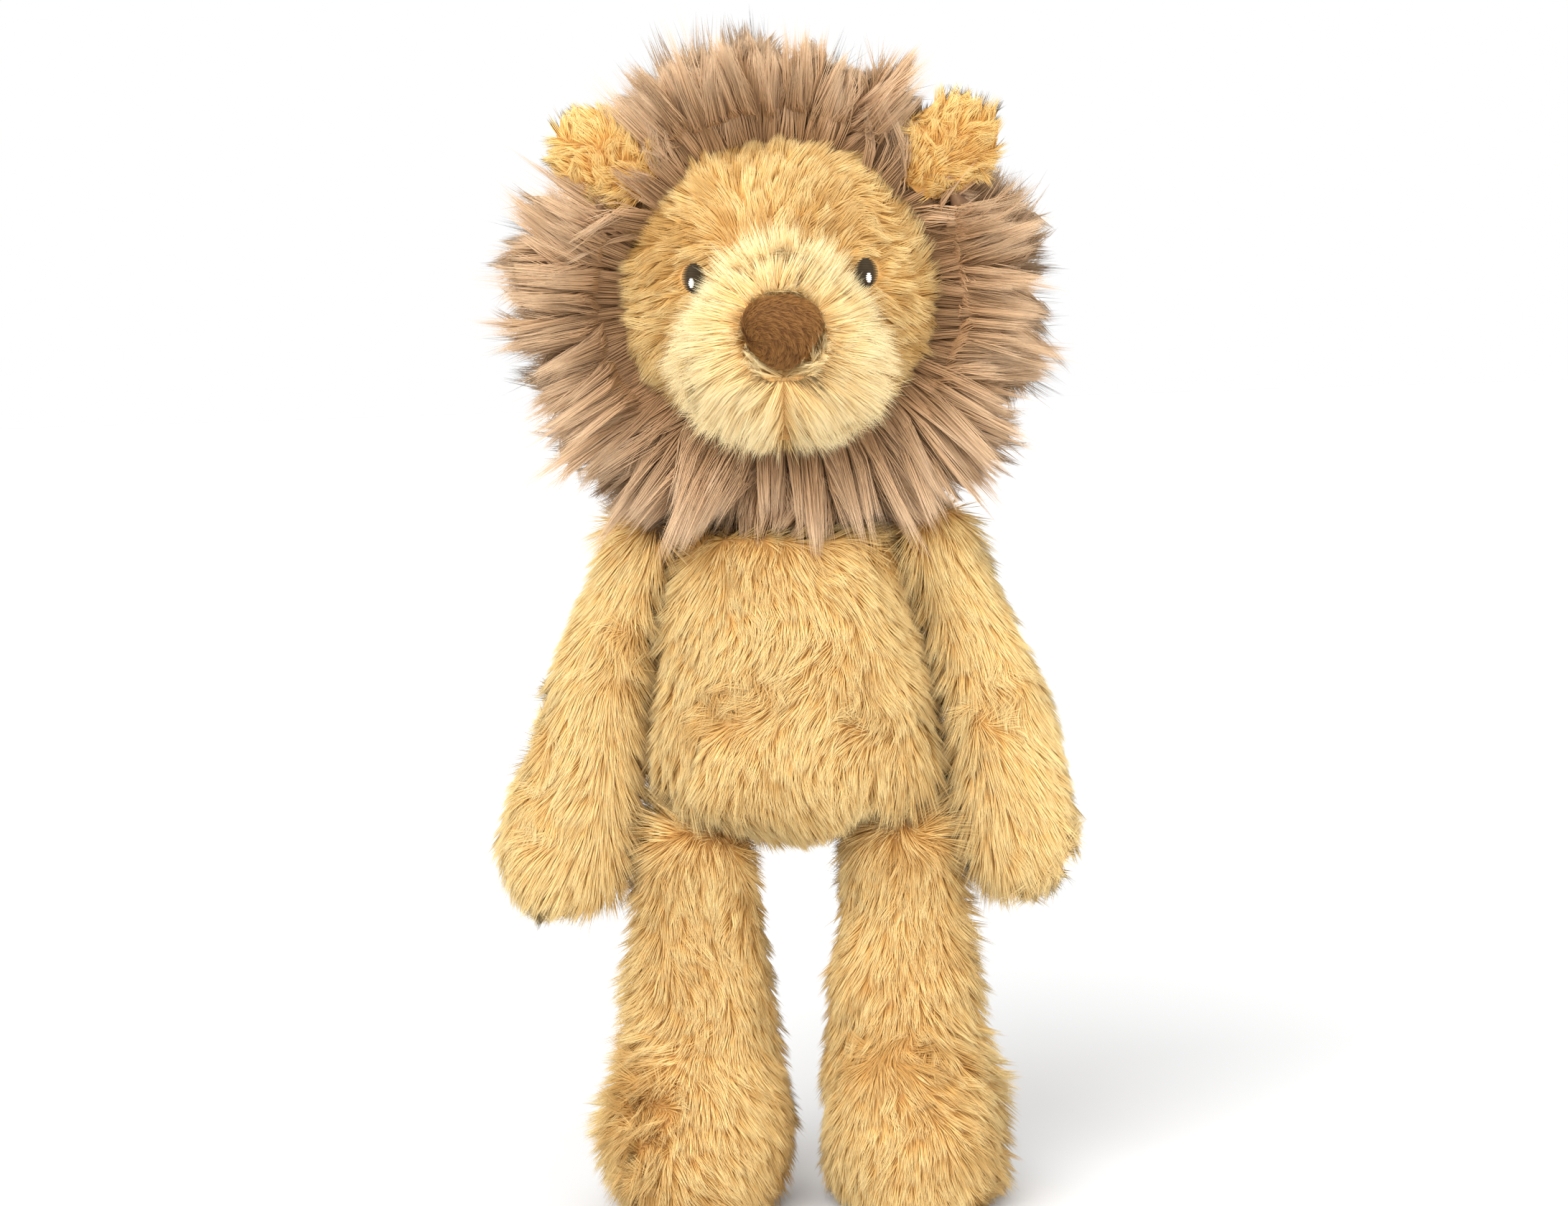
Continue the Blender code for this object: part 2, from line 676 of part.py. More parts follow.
def make_muzzle(head_guard, nose_guard):
    """A paler dome sewn on the face, its seam running down from the nose, and its fibre."""
    skin = muzzle_form("muzzle_skin", 0.0, HEAD_SEGMENTS, CREAM_PILE)
    hollow = as_cutter(muzzle_form("muzzle hollow", SKIN_THICKNESS, SMALL_SEGMENTS, FIBRE_WHITE))
    seam_height = MUZZLE_HALF_HEIGHT
    seam_middle = muzzle_centre() + Vector((0, -MUZZLE_DEPTH, -seam_height))
    seam = egg(
        "muzzle seam", seam_middle,
        (MUZZLE_SEAM_WIDTH, MUZZLE_DEPTH / 2, seam_height), FIBRE_WHITE, 12,
    )
    for cutter in (hollow, head_guard, nose_guard, as_cutter(seam)):
        leave_room(skin, cutter)
    room = SKIN_THICKNESS + MUZZLE_FILL_GAP
    stuffing = muzzle_form("muzzle_stuffing", room, SMALL_SEGMENTS, FIBRE_WHITE)
    leave_room(stuffing, head_guard)
    leave_room(stuffing, nose_guard)
    return [skin, stuffing]


def nose_form(name, growth, colour):
    """A soft triangle, broad above and narrow below, with a domed front."""
    mesh_data = bmesh.new()
    bmesh.ops.create_uvsphere(
        mesh_data, u_segments=LIMB_SEGMENTS, v_segments=SMALL_SEGMENTS, radius=1.0,
    )
    for vert in mesh_data.verts:
        taper = 1 - NOSE_TAPER_SHARE * (1 - vert.co.z) / 2
        vert.co.x *= (NOSE_HALF_WIDTH + growth) * taper
        vert.co.y *= NOSE_HALF_DEPTH + growth
        vert.co.z *= NOSE_HALF_HEIGHT + growth
    middle = muzzle_centre() + Vector((0, -(MUZZLE_DEPTH + NOSE_PROUD - NOSE_HALF_DEPTH), NOSE_RISE))
    bmesh.ops.translate(mesh_data, vec=middle, verts=mesh_data.verts)
    return object_from_mesh(name, mesh_data, colour)


def face_depth(right, up):
    """How far in front of the head's centre its face lies at this spot."""
    share = 1 - (right / HEAD_HALF_WIDTH) ** 2 - (up / HEAD_HALF_HEIGHT) ** 2
    return HEAD_FRONT_DEPTH * math.sqrt(share)


def eye_form(name, side, growth, colour):
    halves = (EYE_HALF_WIDTH + growth, EYE_HALF_DEPTH + growth, EYE_HALF_HEIGHT + growth)
    right = side * EYE_HALF_SPACING
    centre = head_point(right, -face_depth(right, EYE_RISE), EYE_RISE)
    return egg(name, centre, halves, colour, SMALL_SEGMENTS)


def make_eye(word, side, head_skin):
    """An embroidered oval let into the face, with a stitched highlight on it."""
    eye = eye_form(f"eye_{word}", side, 0.0, EYE_THREAD)
    pocket = as_cutter(eye_form(f"eye {word} pocket", side, SEAM_GAP, EYE_THREAD))
    leave_room(head_skin, pocket)
    right = side * (EYE_HALF_SPACING + GLINT_OUTWARD)
    up = EYE_RISE - GLINT_DROP
    front = face_depth(side * EYE_HALF_SPACING, EYE_RISE) + EYE_HALF_DEPTH
    halves = (GLINT_HALF_WIDTH, GLINT_HALF_DEPTH, GLINT_HALF_HEIGHT)
    place = head_point(right, -(front + GLINT_HALF_DEPTH / 2), up)
    glint = egg(f"eye_{word}_highlight", place, halves, WHITE_THREAD, 10)
    leave_room(glint, as_cutter(eye_form(f"eye {word} guard", side, SEAM_GAP, EYE_THREAD)))
    return [eye, glint]


def mane_form(name, growth, colour):
    """The hood of the mane: rings from its rim round the face to the back of the head."""
    front = -MANE_FRONT_EDGE - growth
    back = MANE_BACK_DEPTH + growth
    rings = [mane_ring(front, growth - MANE_EDGE_THICKNESS, 1.0)]
    for height_share, reach_share in MANE_PROFILE_SHARES:
        depth = front + (back - front) * height_share
        rings.append(mane_ring(depth, growth, reach_share))
    mesh_data = bmesh.new()
    placed = add_rings(mesh_data, rings)
    skin_between(mesh_data, placed)
    close_on_pole(mesh_data, placed[0], head_point(0, MANE_DISH_DEPTH, 0))
    close_on_pole(mesh_data, placed[-1], head_point(0, back, 0))
    return object_from_mesh(name, mesh_data, colour)


def mane_ring(depth, growth, share):
    """A round ring above and a squarer one below, which comes forward under the chin."""
    backward = (depth + MANE_FRONT_EDGE) / (MANE_BACK_DEPTH + MANE_FRONT_EDGE)
    points = []
    for index in range(MANE_SEGMENTS):
        angle = math.tau * index / MANE_SEGMENTS
        over, height = math.cos(angle), math.sin(angle)
        if height >= 0:
            points.append(head_point(
                (MANE_HALF_WIDTH + growth) * share * over, depth,
                (MANE_RISE + growth) * share * height,
            ))
            continue
        over = math.copysign(abs(over) ** MANE_LOW_ROUNDNESS_SHARE, over)
        fall = abs(height) ** MANE_LOW_ROUNDNESS_SHARE
        forward = MANE_CHIN_FORWARD * fall * (1 - backward)
        points.append(head_point(
            (MANE_HALF_WIDTH + growth) * share * over, depth - forward,
            -(MANE_DROP + growth) * share * fall,
        ))
    return points


def ear_frame(side):
    """Stands an ear at its place on the head, its length pointing away from the middle."""
    angle = math.radians(EAR_ANGLE_DEGREES)
    right = side * EAR_RADIAL_DISTANCE * math.sin(angle)
    up = EAR_RADIAL_DISTANCE * math.cos(angle)
    return Matrix.Translation(head_point(right, -EAR_FORWARD, up)) @ Matrix.Rotation(side * angle, 4, "Y")


def ear_half(name, side, growth, thickness, facing, colour):
    """One panel of an ear: half of a thick round lens, flat at the ear's seam."""
    mesh_data = bmesh.new()
    bmesh.ops.create_uvsphere(
        mesh_data, u_segments=16, v_segments=12, radius=1.0,
    )
    halves = Vector((EAR_HALF_WIDTH + growth, thickness + growth, EAR_HALF_LENGTH + growth))
    for vert in mesh_data.verts:
        vert.co = Vector(vert.co[axis] * halves[axis] for axis in range(3))
    seam = Vector((0, facing * (SEAM_GAP / 2 - growth), 0))
    bmesh.ops.bisect_plane(
        mesh_data, geom=mesh_data.verts[:] + mesh_data.edges[:] + mesh_data.faces[:],
        plane_co=seam, plane_no=(0, -facing, 0), clear_outer=True, dist=WELD_DISTANCE,
    )
    rim = [edge for edge in mesh_data.edges if edge.is_boundary]
    bmesh.ops.contextual_create(mesh_data, geom=rim)
    bmesh.ops.transform(mesh_data, matrix=ear_frame(side), verts=mesh_data.verts)
    return object_from_mesh(name, mesh_data, colour)


def make_ear(word, side, head_guard):
    """Two panels sewn back to back, their root cut to lie on the head."""
    front = ear_half(f"ear_{word}_front", side, 0.0, EAR_FRONT_THICKNESS, -1, EAR_PILE)
    back = ear_half(f"ear_{word}_back", side, 0.0, EAR_BACK_THICKNESS, 1, GOLD_PILE)
    for panel in (front, back):
        leave_room(panel, head_guard)
    return [front, back]


def ear_room(word, side):
    """The slit that the mane leaves for an ear."""
    halves = (
        EAR_HALF_WIDTH + EAR_SLIT_GAP,
        EAR_FRONT_THICKNESS + EAR_SLIT_GAP,
        EAR_HALF_LENGTH + EAR_SLIT_GAP,
    )
    turn = Matrix.Rotation(side * math.radians(EAR_ANGLE_DEGREES), 4, "Y")
    centre = ear_frame(side).translation
    return as_cutter(egg(f"ear {word} room", centre, halves, EAR_PILE, 18, turn=turn))


def neck_ball(name, growth):
    radius = NECK_BALL_RADIUS + growth
    return as_cutter(egg(name, neck_pivot(), (radius, radius, radius), MANE_PILE, NECK_SEGMENTS))


def make_head():
    """Face, mane, muzzle, nose, eyes and ears, all carried by the head's skin."""
    ball = neck_ball("neck room", NECK_ROOM_GAP)
    skin = head_form("head_skin", 0.0, 13, GOLD_PILE)
    hollow = as_cutter(head_form("head hollow", SKIN_THICKNESS, 9, FIBRE_WHITE))
    guard = as_cutter(head_form("head guard", -SEAM_GAP, 13, FIBRE_WHITE))
    leave_room(skin, hollow)
    leave_room(skin, ball)
    stuffing = head_form("head_stuffing", SKIN_THICKNESS + SEAM_GAP, 9, FIBRE_WHITE)
    leave_room(stuffing, ball)

    nose = nose_form("nose", 0.0, NOSE_VELOUR)
    nose_guard = as_cutter(nose_form("nose guard", SEAM_GAP, NOSE_VELOUR))
    pieces = [skin, stuffing, nose] + make_muzzle(guard, nose_guard)

    mane = mane_form("mane", 0.0, MANE_PILE)
    muzzle_guard = as_cutter(muzzle_form("muzzle guard", -SEAM_GAP, HEAD_SEGMENTS, CREAM_PILE))
    for cutter in (guard, ball, muzzle_guard):
        leave_room(mane, cutter)
    for word, side in SIDES:
        pieces += make_eye(word, side, skin)
        pieces += make_ear(word, side, guard)
        leave_room(mane, ear_room(word, side))
    return pieces + [mane]


def tail_root():
    half_depth = blend_stations(torso_stations(), TAIL_ROOT_HEIGHT)[1]
    drop = (BELLY_HEIGHT - TAIL_ROOT_HEIGHT) / (BELLY_HEIGHT - CROTCH_HEIGHT)
    back = half_depth * math.sqrt(max(1 - drop ** 2, 0))
    return Vector((0, back, TAIL_ROOT_HEIGHT))


def tail_ring(along, radius):
    """A ring round the tail's own line, this far from its root."""
    angle = math.radians(TAIL_ANGLE_DEGREES)
    line = Vector((0, math.sin(angle), -math.cos(angle)))
    across = Vector((0, math.cos(angle), math.sin(angle)))
    middle = tail_root() + line * along
    points = []
    for index in range(SMALL_SEGMENTS):
        turn = math.tau * index / SMALL_SEGMENTS
        points.append(middle + Vector((math.cos(turn), 0, 0)) * radius + across * math.sin(turn) * radius)
    return points


def tail_point(along):
    return sum(tail_ring(along, 0.0), Vector()) / SMALL_SEGMENTS


def make_tail():
    """A stuffed tube with a ball root in the torso's back, and a tuft of mane pile."""
    root = TAIL_ROOT_RADIUS
    rings = []
    for angle in reversed(dome_steps(3)):
        rings.append(tail_ring(-root * math.sin(angle), root * math.cos(angle)))
    rings.append(tail_ring(0.0, root))
    rings.append(tail_ring(root, TAIL_RADIUS))
    rings.append(tail_ring(TAIL_LENGTH, TAIL_RADIUS))
    inner = TAIL_RADIUS - TAIL_SKIN_THICKNESS
    inner_rings = [tail_ring(along, inner) for along in (TAIL_LENGTH, TAIL_LENGTH / 2, 0.0)]
    skin = open_skin(
        "tail_skin", rings[::-1], tail_point(-root), inner_rings, tail_point(-inner), GOLD_PILE,
    )
    room = inner - SEAM_GAP
    fill = [tail_ring(along, room) for along in (0.0, TAIL_LENGTH / 2, TAIL_LENGTH)]
    stuffing = closed_form("tail_stuffing", fill, tail_point(-room), None, FIBRE_WHITE)
    start = TAIL_LENGTH - TUFT_OVERLAP
    tuft_rings = []
    for length_share, reach_share in TUFT_PROFILE_SHARES:
        tuft_rings.append(tail_ring(start + TUFT_LENGTH * length_share, TUFT_RADIUS * reach_share))
    tuft = closed_form(
        "tail_tuft", tuft_rings, tail_point(start), tail_point(start + TUFT_LENGTH), MANE_PILE,
    )
    inside = TAIL_RADIUS + SEAM_GAP
    end = TAIL_LENGTH + SEAM_GAP
    sleeve = closed_form(
        "tail end room", [tail_ring(0.0, inside), tail_ring(end, inside)], None, None, MANE_PILE,
    )
    leave_room(tuft, as_cutter(sleeve))
    return [skin, stuffing, tuft]


def socket_for(name, place, radius, fold=0.0):
    """The hollow that a limb's ball turns in, wider all round its axis by the fold."""
    reach = radius + JOINT_GAP
    halves = (reach, reach + fold, reach + fold)
    return as_cutter(egg(name, place, halves, GOLD_PILE, BALL_SEGMENTS))


def stand(name, place, parent):
    """An empty at a joint, which carries what moves there."""
    holder = bpy.data.objects.new(name, None)
    bpy.context.scene.collection.objects.link(holder)
    holder.empty_display_size = HIP_RADIUS
    holder.parent = parent
    holder.location = place - world_place(parent)
    return holder


def world_place(holder):
    place = Vector((0, 0, 0))
    while holder is not None:
        place += holder.location
        holder = holder.parent
    return place


def hang_on(holder, pieces):
    """Gives each piece the joint's point as its origin and hangs it there."""
    place = world_place(holder)
    for piece in pieces:
        piece.data.transform(Matrix.Translation(-place))
        piece.parent = holder


def hang_cutters(holder, pieces):
    """Cutters follow the pieces that they cut."""
    for piece in pieces:
        for cut in piece.modifiers:
            if cut.object.parent is None:
                hang_on(holder, [cut.object])


def seat_on_origin(base):
    """Puts the middle of the toy's own box over the origin."""
    bpy.context.view_layer.update()
    graph = bpy.context.evaluated_depsgraph_get()
    lows, highs = [], []
    for piece in bpy.data.objects:
        if piece.type != "MESH" or piece.hide_render:
            continue
        shape = piece.evaluated_get(graph)
        points = [shape.matrix_world @ vert.co for vert in shape.data.vertices]
        lows.append([min(point[axis] for point in points) for axis in range(3)])
        highs.append([max(point[axis] for point in points) for axis in range(3)])
    low = [min(row[axis] for row in lows) for axis in range(3)]
    high = [max(row[axis] for row in highs) for axis in range(3)]
    base.location = Vector((-(low[0] + high[0]) / 2, -(low[1] + high[1]) / 2, -low[2]))
    bpy.context.view_layer.update()
    print("box", [f"{high[axis] - low[axis]:.4f}" for axis in range(3)])


def build():
    clear_scene()
    base = stand("toy", Vector((0, 0, 0)), None)
    torso_pieces = make_torso()
    torso_skin, seat_bag, torso_stuffing = torso_pieces

    turn = stand("neck turn", neck_pivot(), base)
    nod = stand("head nod", neck_pivot(), turn)
    neck_pieces = make_neck()
    head_pieces = make_head()
    tail_pieces = make_tail()
    tail = stand("tail lift", tail_root(), base)

    limbs = []
    for word, side in SIDES:
        hip = stand(f"hip {word}", hip_place(side), base)
        shoulder = stand(f"shoulder {word}", shoulder_place(side), base)
        limbs.append((hip, make_leg(word, side)))
        limbs.append((shoulder, make_arm(word, side)))
        hip_room = socket_for(f"hip room {word}", hip_place(side), HIP_RADIUS, HIP_FOLD)
        arm_room = socket_for(f"shoulder room {word}", shoulder_place(side), SHOULDER_RADIUS)
        for piece, cutter in (
            (torso_skin, hip_room), (seat_bag, hip_room), (torso_skin, raised_thigh(word, side)),
            (torso_skin, arm_room), (torso_stuffing, arm_room),
        ):
            leave_room(piece, cutter)
    tail_room = socket_for("tail room", tail_root(), TAIL_ROOT_RADIUS)
    for piece in (torso_skin, torso_stuffing):
        leave_room(piece, tail_room)

    hang_on(turn, neck_pieces)
    hang_on(nod, head_pieces)
    hang_cutters(nod, head_pieces)
    hang_on(tail, tail_pieces)
    hang_cutters(tail, tail_pieces)
    for holder, pieces in limbs:
        hang_on(holder, pieces)
        hang_cutters(holder, pieces)
    hang_on(base, torso_pieces)
    hang_cutters(base, torso_pieces)
    seat_on_origin(base)
    for holder in bpy.data.objects:
        if holder.type == "EMPTY":
            place = holder.matrix_world.translation
            print("joint", holder.name, [f"{value:.5f}" for value in place])


build()
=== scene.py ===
# %% [markdown]
# # A plush lion
# The lion is a soft toy: cloth skins filled with fibre, covered in short golden pile,
# with a hood of long brown pile for a mane. Cloth alone reads as plastic, because what the
# eye sees on such a toy is its pile. So each stuffed body here is made twice: a smooth
# backing of cloth at the right size, and a coat of thin strands that grow from it.
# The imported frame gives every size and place, and nothing in it is moved.

# %% Load the frame
import math

import bmesh
import bpy
import numpy as np
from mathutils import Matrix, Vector


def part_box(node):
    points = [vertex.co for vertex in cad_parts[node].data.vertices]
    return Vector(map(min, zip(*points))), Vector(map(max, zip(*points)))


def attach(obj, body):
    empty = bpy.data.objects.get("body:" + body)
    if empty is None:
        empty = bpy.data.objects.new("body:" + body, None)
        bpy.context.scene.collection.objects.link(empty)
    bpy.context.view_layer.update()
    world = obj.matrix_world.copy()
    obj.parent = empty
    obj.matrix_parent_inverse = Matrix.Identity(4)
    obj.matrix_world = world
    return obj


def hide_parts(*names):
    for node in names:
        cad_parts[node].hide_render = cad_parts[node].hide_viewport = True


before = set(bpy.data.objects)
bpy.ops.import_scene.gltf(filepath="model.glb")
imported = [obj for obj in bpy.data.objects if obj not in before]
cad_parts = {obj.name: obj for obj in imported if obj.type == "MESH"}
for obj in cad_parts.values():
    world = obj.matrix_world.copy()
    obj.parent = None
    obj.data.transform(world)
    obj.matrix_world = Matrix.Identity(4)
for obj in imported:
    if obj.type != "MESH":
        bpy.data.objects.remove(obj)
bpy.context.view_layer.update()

MM = 0.001

# %% [markdown]
# Operators act on everything that is selected, and loading leaves the frame selected.
# These helpers clear the selection first, and make one object the active one.

# %% Selection helpers
def deselect():
    bpy.ops.object.select_all(action="DESELECT")


def choose(piece):
    deselect()
    piece.select_set(True)
    bpy.context.view_layer.objects.active = piece


def apply_modifier(piece, kind, **settings):
    """Adds a modifier with its settings and applies it at once."""
    choose(piece)
    bpy.ops.object.modifier_add(type=kind)
    added = piece.modifiers[-1]
    for key, value in settings.items():
        setattr(added, key, value)
    bpy.ops.object.modifier_apply(modifier=added.name)


# %% [markdown]
# ## Camera, light and floor
# The photograph was taken with a long lens, a little above the middle of the toy, and the
# whole figure leans a touch to the left in the frame. A long lens keeps the feet and the
# head at the same scale, so the camera stands well back.

# %% Camera
CAMERA_DISTANCE = 1.30
CAMERA_ELEVATION = math.radians(8.0)
CAMERA_ROLL = math.radians(-1.8)
CAMERA_LENS = 90.0
AIM = Vector((0.0018, 0.0, 0.2030))

bpy.ops.object.camera_add()
camera = bpy.context.object
away = Vector((0, -math.cos(CAMERA_ELEVATION), math.sin(CAMERA_ELEVATION)))
camera.location = AIM + away * CAMERA_DISTANCE
camera.rotation_mode = "QUATERNION"
camera.rotation_quaternion = (-away).to_track_quat("-Z", "Y")
camera.rotation_mode = "XYZ"
camera.rotation_euler.rotate_axis("Z", CAMERA_ROLL)
camera.data.lens = CAMERA_LENS
camera.data.sensor_width = 36.0
bpy.context.scene.camera = camera
print("camera at", [round(v, 3) for v in camera.location])

# %% [markdown]
# A product photograph on white is lit from all round, so that the pile shows its colour and
# the shadows stay soft. A white world does half of it. One broad distant light from the
# upper left gives the pile its direction and the feet a shadow, and lights the floor
# evenly, so that the floor runs into the background.

# %% Light and floor
KEY_STRENGTH = 3.1
KEY_SPREAD = math.radians(50)
KEY_FROM = Vector((-0.55, -1.05, 0.90))
FILL_POWER = 8.0
WORLD_STRENGTH = 1.0

bpy.ops.object.light_add(type="SUN", location=KEY_FROM)
key = bpy.context.object
key.name = "key light"
key.data.energy = KEY_STRENGTH
key.data.angle = KEY_SPREAD
key.rotation_euler = (-KEY_FROM).to_track_quat("-Z", "Y").to_euler()

FILL_PLACE = Vector((0.9, -1.2, 0.5))
bpy.ops.object.light_add(type="AREA", location=FILL_PLACE)
fill = bpy.context.object
fill.name = "fill light"
fill.data.energy = FILL_POWER
fill.data.size = 1.0
fill.rotation_euler = (AIM - FILL_PLACE).to_track_quat("-Z", "Y").to_euler()

world = bpy.data.worlds.new("studio")
bpy.context.scene.world = world
world.use_nodes = True
world.node_tree.nodes["Background"].inputs["Color"].default_value = (1.0, 1.0, 1.0, 1.0)
world.node_tree.nodes["Background"].inputs["Strength"].default_value = WORLD_STRENGTH
bpy.context.scene.view_settings.view_transform = "Standard"

FLOOR_SIZE = 6.0
bpy.ops.mesh.primitive_plane_add(size=FLOOR_SIZE, location=(0, 0, 0))
floor = bpy.context.object
floor.name = "floor"
floor_paint = bpy.data.materials.new("floor paint")
floor_paint.use_nodes = True
floor_shader = floor_paint.node_tree.nodes["Principled BSDF"]
floor_shader.inputs["Base Color"].default_value = (0.70, 0.70, 0.70, 1.0)
floor_shader.inputs["Roughness"].default_value = 0.9
floor.data.materials.append(floor_paint)

# %% [markdown]
# ## Shader maths as Python
# A small class wraps a node's socket, so that sums on masks read as sums. Colours go
# through Mix nodes, because a Math node would turn them grey.

# %% Socket arithmetic
class Wire:
    """A value in a material: Python's operators on it add Math nodes."""

    def __init__(self, shop, socket):
        self.shop = shop
        self.socket = socket

    def __add__(self, other):
        return self.shop.maths("ADD", self, other)

    def __sub__(self, other):
        return self.shop.maths("SUBTRACT", self, other)

    def __rsub__(self, other):
        return self.shop.maths("SUBTRACT", other, self)

    def __mul__(self, other):
        return self.shop.maths("MULTIPLY", self, other)

    def __pow__(self, other):
        return self.shop.maths("POWER", self, other)

    __radd__ = __add__
    __rmul__ = __mul__


class Finish:
    """A material, and the one way that its nodes are made."""

    def __init__(self, name, roughness, **constants):
        self.material = bpy.data.materials.new(name)
        self.material.use_nodes = True
        self.tree = self.material.node_tree
        self.shader = self.tree.nodes["Principled BSDF"]
        self.shader.inputs["Roughness"].default_value = roughness
        for socket, value in constants.items():
            self.shader.inputs[socket.replace("_", " ")].default_value = value

    def node(self, kind, settings=None, **values):
        made = self.tree.nodes.new(kind)
        for key, value in (settings or {}).items():
            setattr(made, key, value)
        for key, value in values.items():
            self.join(made.inputs[key.replace("_", " ")], value)
        return made

    def join(self, socket, value):
        if isinstance(value, Wire):
            self.tree.links.new(value.socket, socket)
        else:
            socket.default_value = value

    def maths(self, operation, first, second):
        made = self.tree.nodes.new("ShaderNodeMath")
        made.operation = operation
        self.join(made.inputs[0], first)
        self.join(made.inputs[1], second)
        return Wire(self, made.outputs[0])

    def mix(self, share, first, second):
        made = self.tree.nodes.new("ShaderNodeMix")
        made.data_type = "RGBA"
        self.join(made.inputs[0], share)
        self.join(made.inputs[6], first)
        self.join(made.inputs[7], second)
        return Wire(self, made.outputs[2])

    def attribute(self, name):
        return Wire(self, self.node("ShaderNodeAttribute", {"attribute_name": name}).outputs["Fac"])

    def noise(self, scale, detail=3.0):
        place = self.node("ShaderNodeTexCoord").outputs["Object"]
        made = self.node("ShaderNodeTexNoise", Scale=scale, Detail=detail)
        self.tree.links.new(place, made.inputs["Vector"])
        return Wire(self, made.outputs["Fac"])

    def colour(self, value):
        self.join(self.shader.inputs["Base Color"], value)

    def bump(self, height, distance, strength=1.0):
        made = self.node("ShaderNodeBump", Strength=strength, Distance=distance, Height=height)
        self.tree.links.new(made.outputs["Normal"], self.shader.inputs["Normal"])


def linear(red, green, blue):
    """A colour as a screen shows it, 0 to 255, turned into the shader's linear one."""
    shares = [channel / 255 for channel in (red, green, blue)]
    return tuple(
        share / 12.92 if share <= 0.04045 else ((share + 0.055) / 1.055) ** 2.4
        for share in shares
    ) + (1.0,)


# %% [markdown]
# ## Pile finishes
# Each strand carries two numbers: `along`, 0 at the root and 1 at the tip, and `tone`,
# which drifts from tuft to tuft, and is lowered where shade is painted into the pile. Real
# pile is darker and redder at the root, where light reaches it last, and palest at the tip.
# Tufts that part show more of their roots.

# %% Pile materials
def pile_finish(name, root, middle, tip, deep, sheen):
    """Colour along each strand, and warmer, deeper tufts where tone is low."""
    finish = Finish(
        name, 0.62, Sheen_Weight=sheen, Sheen_Roughness=0.5, Sheen_Tint=tip, Specular_IOR_Level=0.2,
    )
    along = finish.attribute("along")
    tone = finish.attribute("tone")
    lower = finish.mix(along ** 0.8, root, middle)
    strand = finish.mix(along ** 2.2, lower, tip)
    finish.colour(finish.mix((1 - tone) ** 2.0 * 0.85, strand, deep))
    return finish.material


gold_pile = pile_finish(
    "golden pile",
    linear(206, 154, 82), linear(238, 196, 120), linear(252, 230, 172), linear(184, 136, 70), 0.10,
)
muzzle_pile = pile_finish(
    "muzzle pile",
    linear(240, 198, 130), linear(254, 222, 156), linear(255, 240, 194), linear(238, 194, 128), 0.10,
)
ear_pile = pile_finish(
    "ear pile",
    linear(198, 142, 68), linear(238, 192, 108), linear(252, 224, 158), linear(196, 138, 62), 0.12,
)
mane_pile = pile_finish(
    "mane pile",
    linear(158, 119, 80), linear(198, 156, 113), linear(232, 200, 164), linear(124, 92, 62), 0.08,
)

nose_pile = pile_finish(
    "nose velour nap",
    linear(92, 56, 20), linear(138, 92, 44), linear(176, 126, 70), linear(76, 44, 16), 0.05,
)

# %% [markdown]
# The cloth behind the pile is only glimpsed between strands. It has the root's colour and
# a fine knitted grain.

# %% Backing cloth
def backing_finish(name, light, dark):
    finish = Finish(name, 0.9)
    grain = finish.noise(420.0)
    finish.colour(finish.mix(grain, dark, light))
    finish.bump(grain, 0.0004, 0.6)
    return finish.material


gold_backing = backing_finish("golden backing", linear(214, 168, 102), linear(186, 138, 78))
mane_backing = backing_finish("mane backing", linear(136, 102, 72), linear(106, 78, 54))

# %% [markdown]
# ## Stuffed bodies
# A stuffed limb is one smooth swelling shape. The frame holds it as a skin with its filling
# inside, so copies of both are joined and remeshed into one closed body. Smoothing takes
# the facets off, and a Displace modifier draws the surface in by the height of the pile.
# The large bodies are then filled: Blender's cloth, with pressure inside and no gravity,
# runs for twenty frames and settles as a stuffed skin does. No point may move further
# than the cap, so a body stays in its own space. Fibre never packs evenly, so slow waves
# push the cloth in and out by a millimetre or so.

# %% Slow waves for lumps and for combing
def slow_waves(points, size, seed, count=7):
    """Smooth seeded noise, about -1 to 1, from a handful of sine waves of one size."""
    chance = np.random.default_rng(seed)
    total = np.zeros(len(points))
    for _ in range(count):
        heading = chance.normal(size=3)
        heading *= (0.6 + 0.8 * chance.random()) / np.linalg.norm(heading)
        total += np.sin(points @ heading * (math.tau / size) + chance.random() * math.tau)
    return total / math.sqrt(count / 2) / 1.6


def wave_vectors(points, size, seed):
    return np.stack([slow_waves(points, size, seed + axis) for axis in range(3)], axis=1)


def unit(vectors):
    return vectors / np.maximum(np.linalg.norm(vectors, axis=1, keepdims=True), 1e-9)


# %% Build a stuffed body
def loose_copy(nodes, name):
    """One mesh holding copies of several frame nodes, their doubles merged."""
    mesh_data = bmesh.new()
    for node in nodes:
        mesh_data.from_mesh(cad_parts[node].data)
    bmesh.ops.remove_doubles(mesh_data, verts=mesh_data.verts, dist=0.00001)
    mesh = bpy.data.meshes.new(name)
    mesh_data.to_mesh(mesh)
    mesh_data.free()
    made = bpy.data.objects.new(name, mesh)
    bpy.context.scene.collection.objects.link(made)
    return made


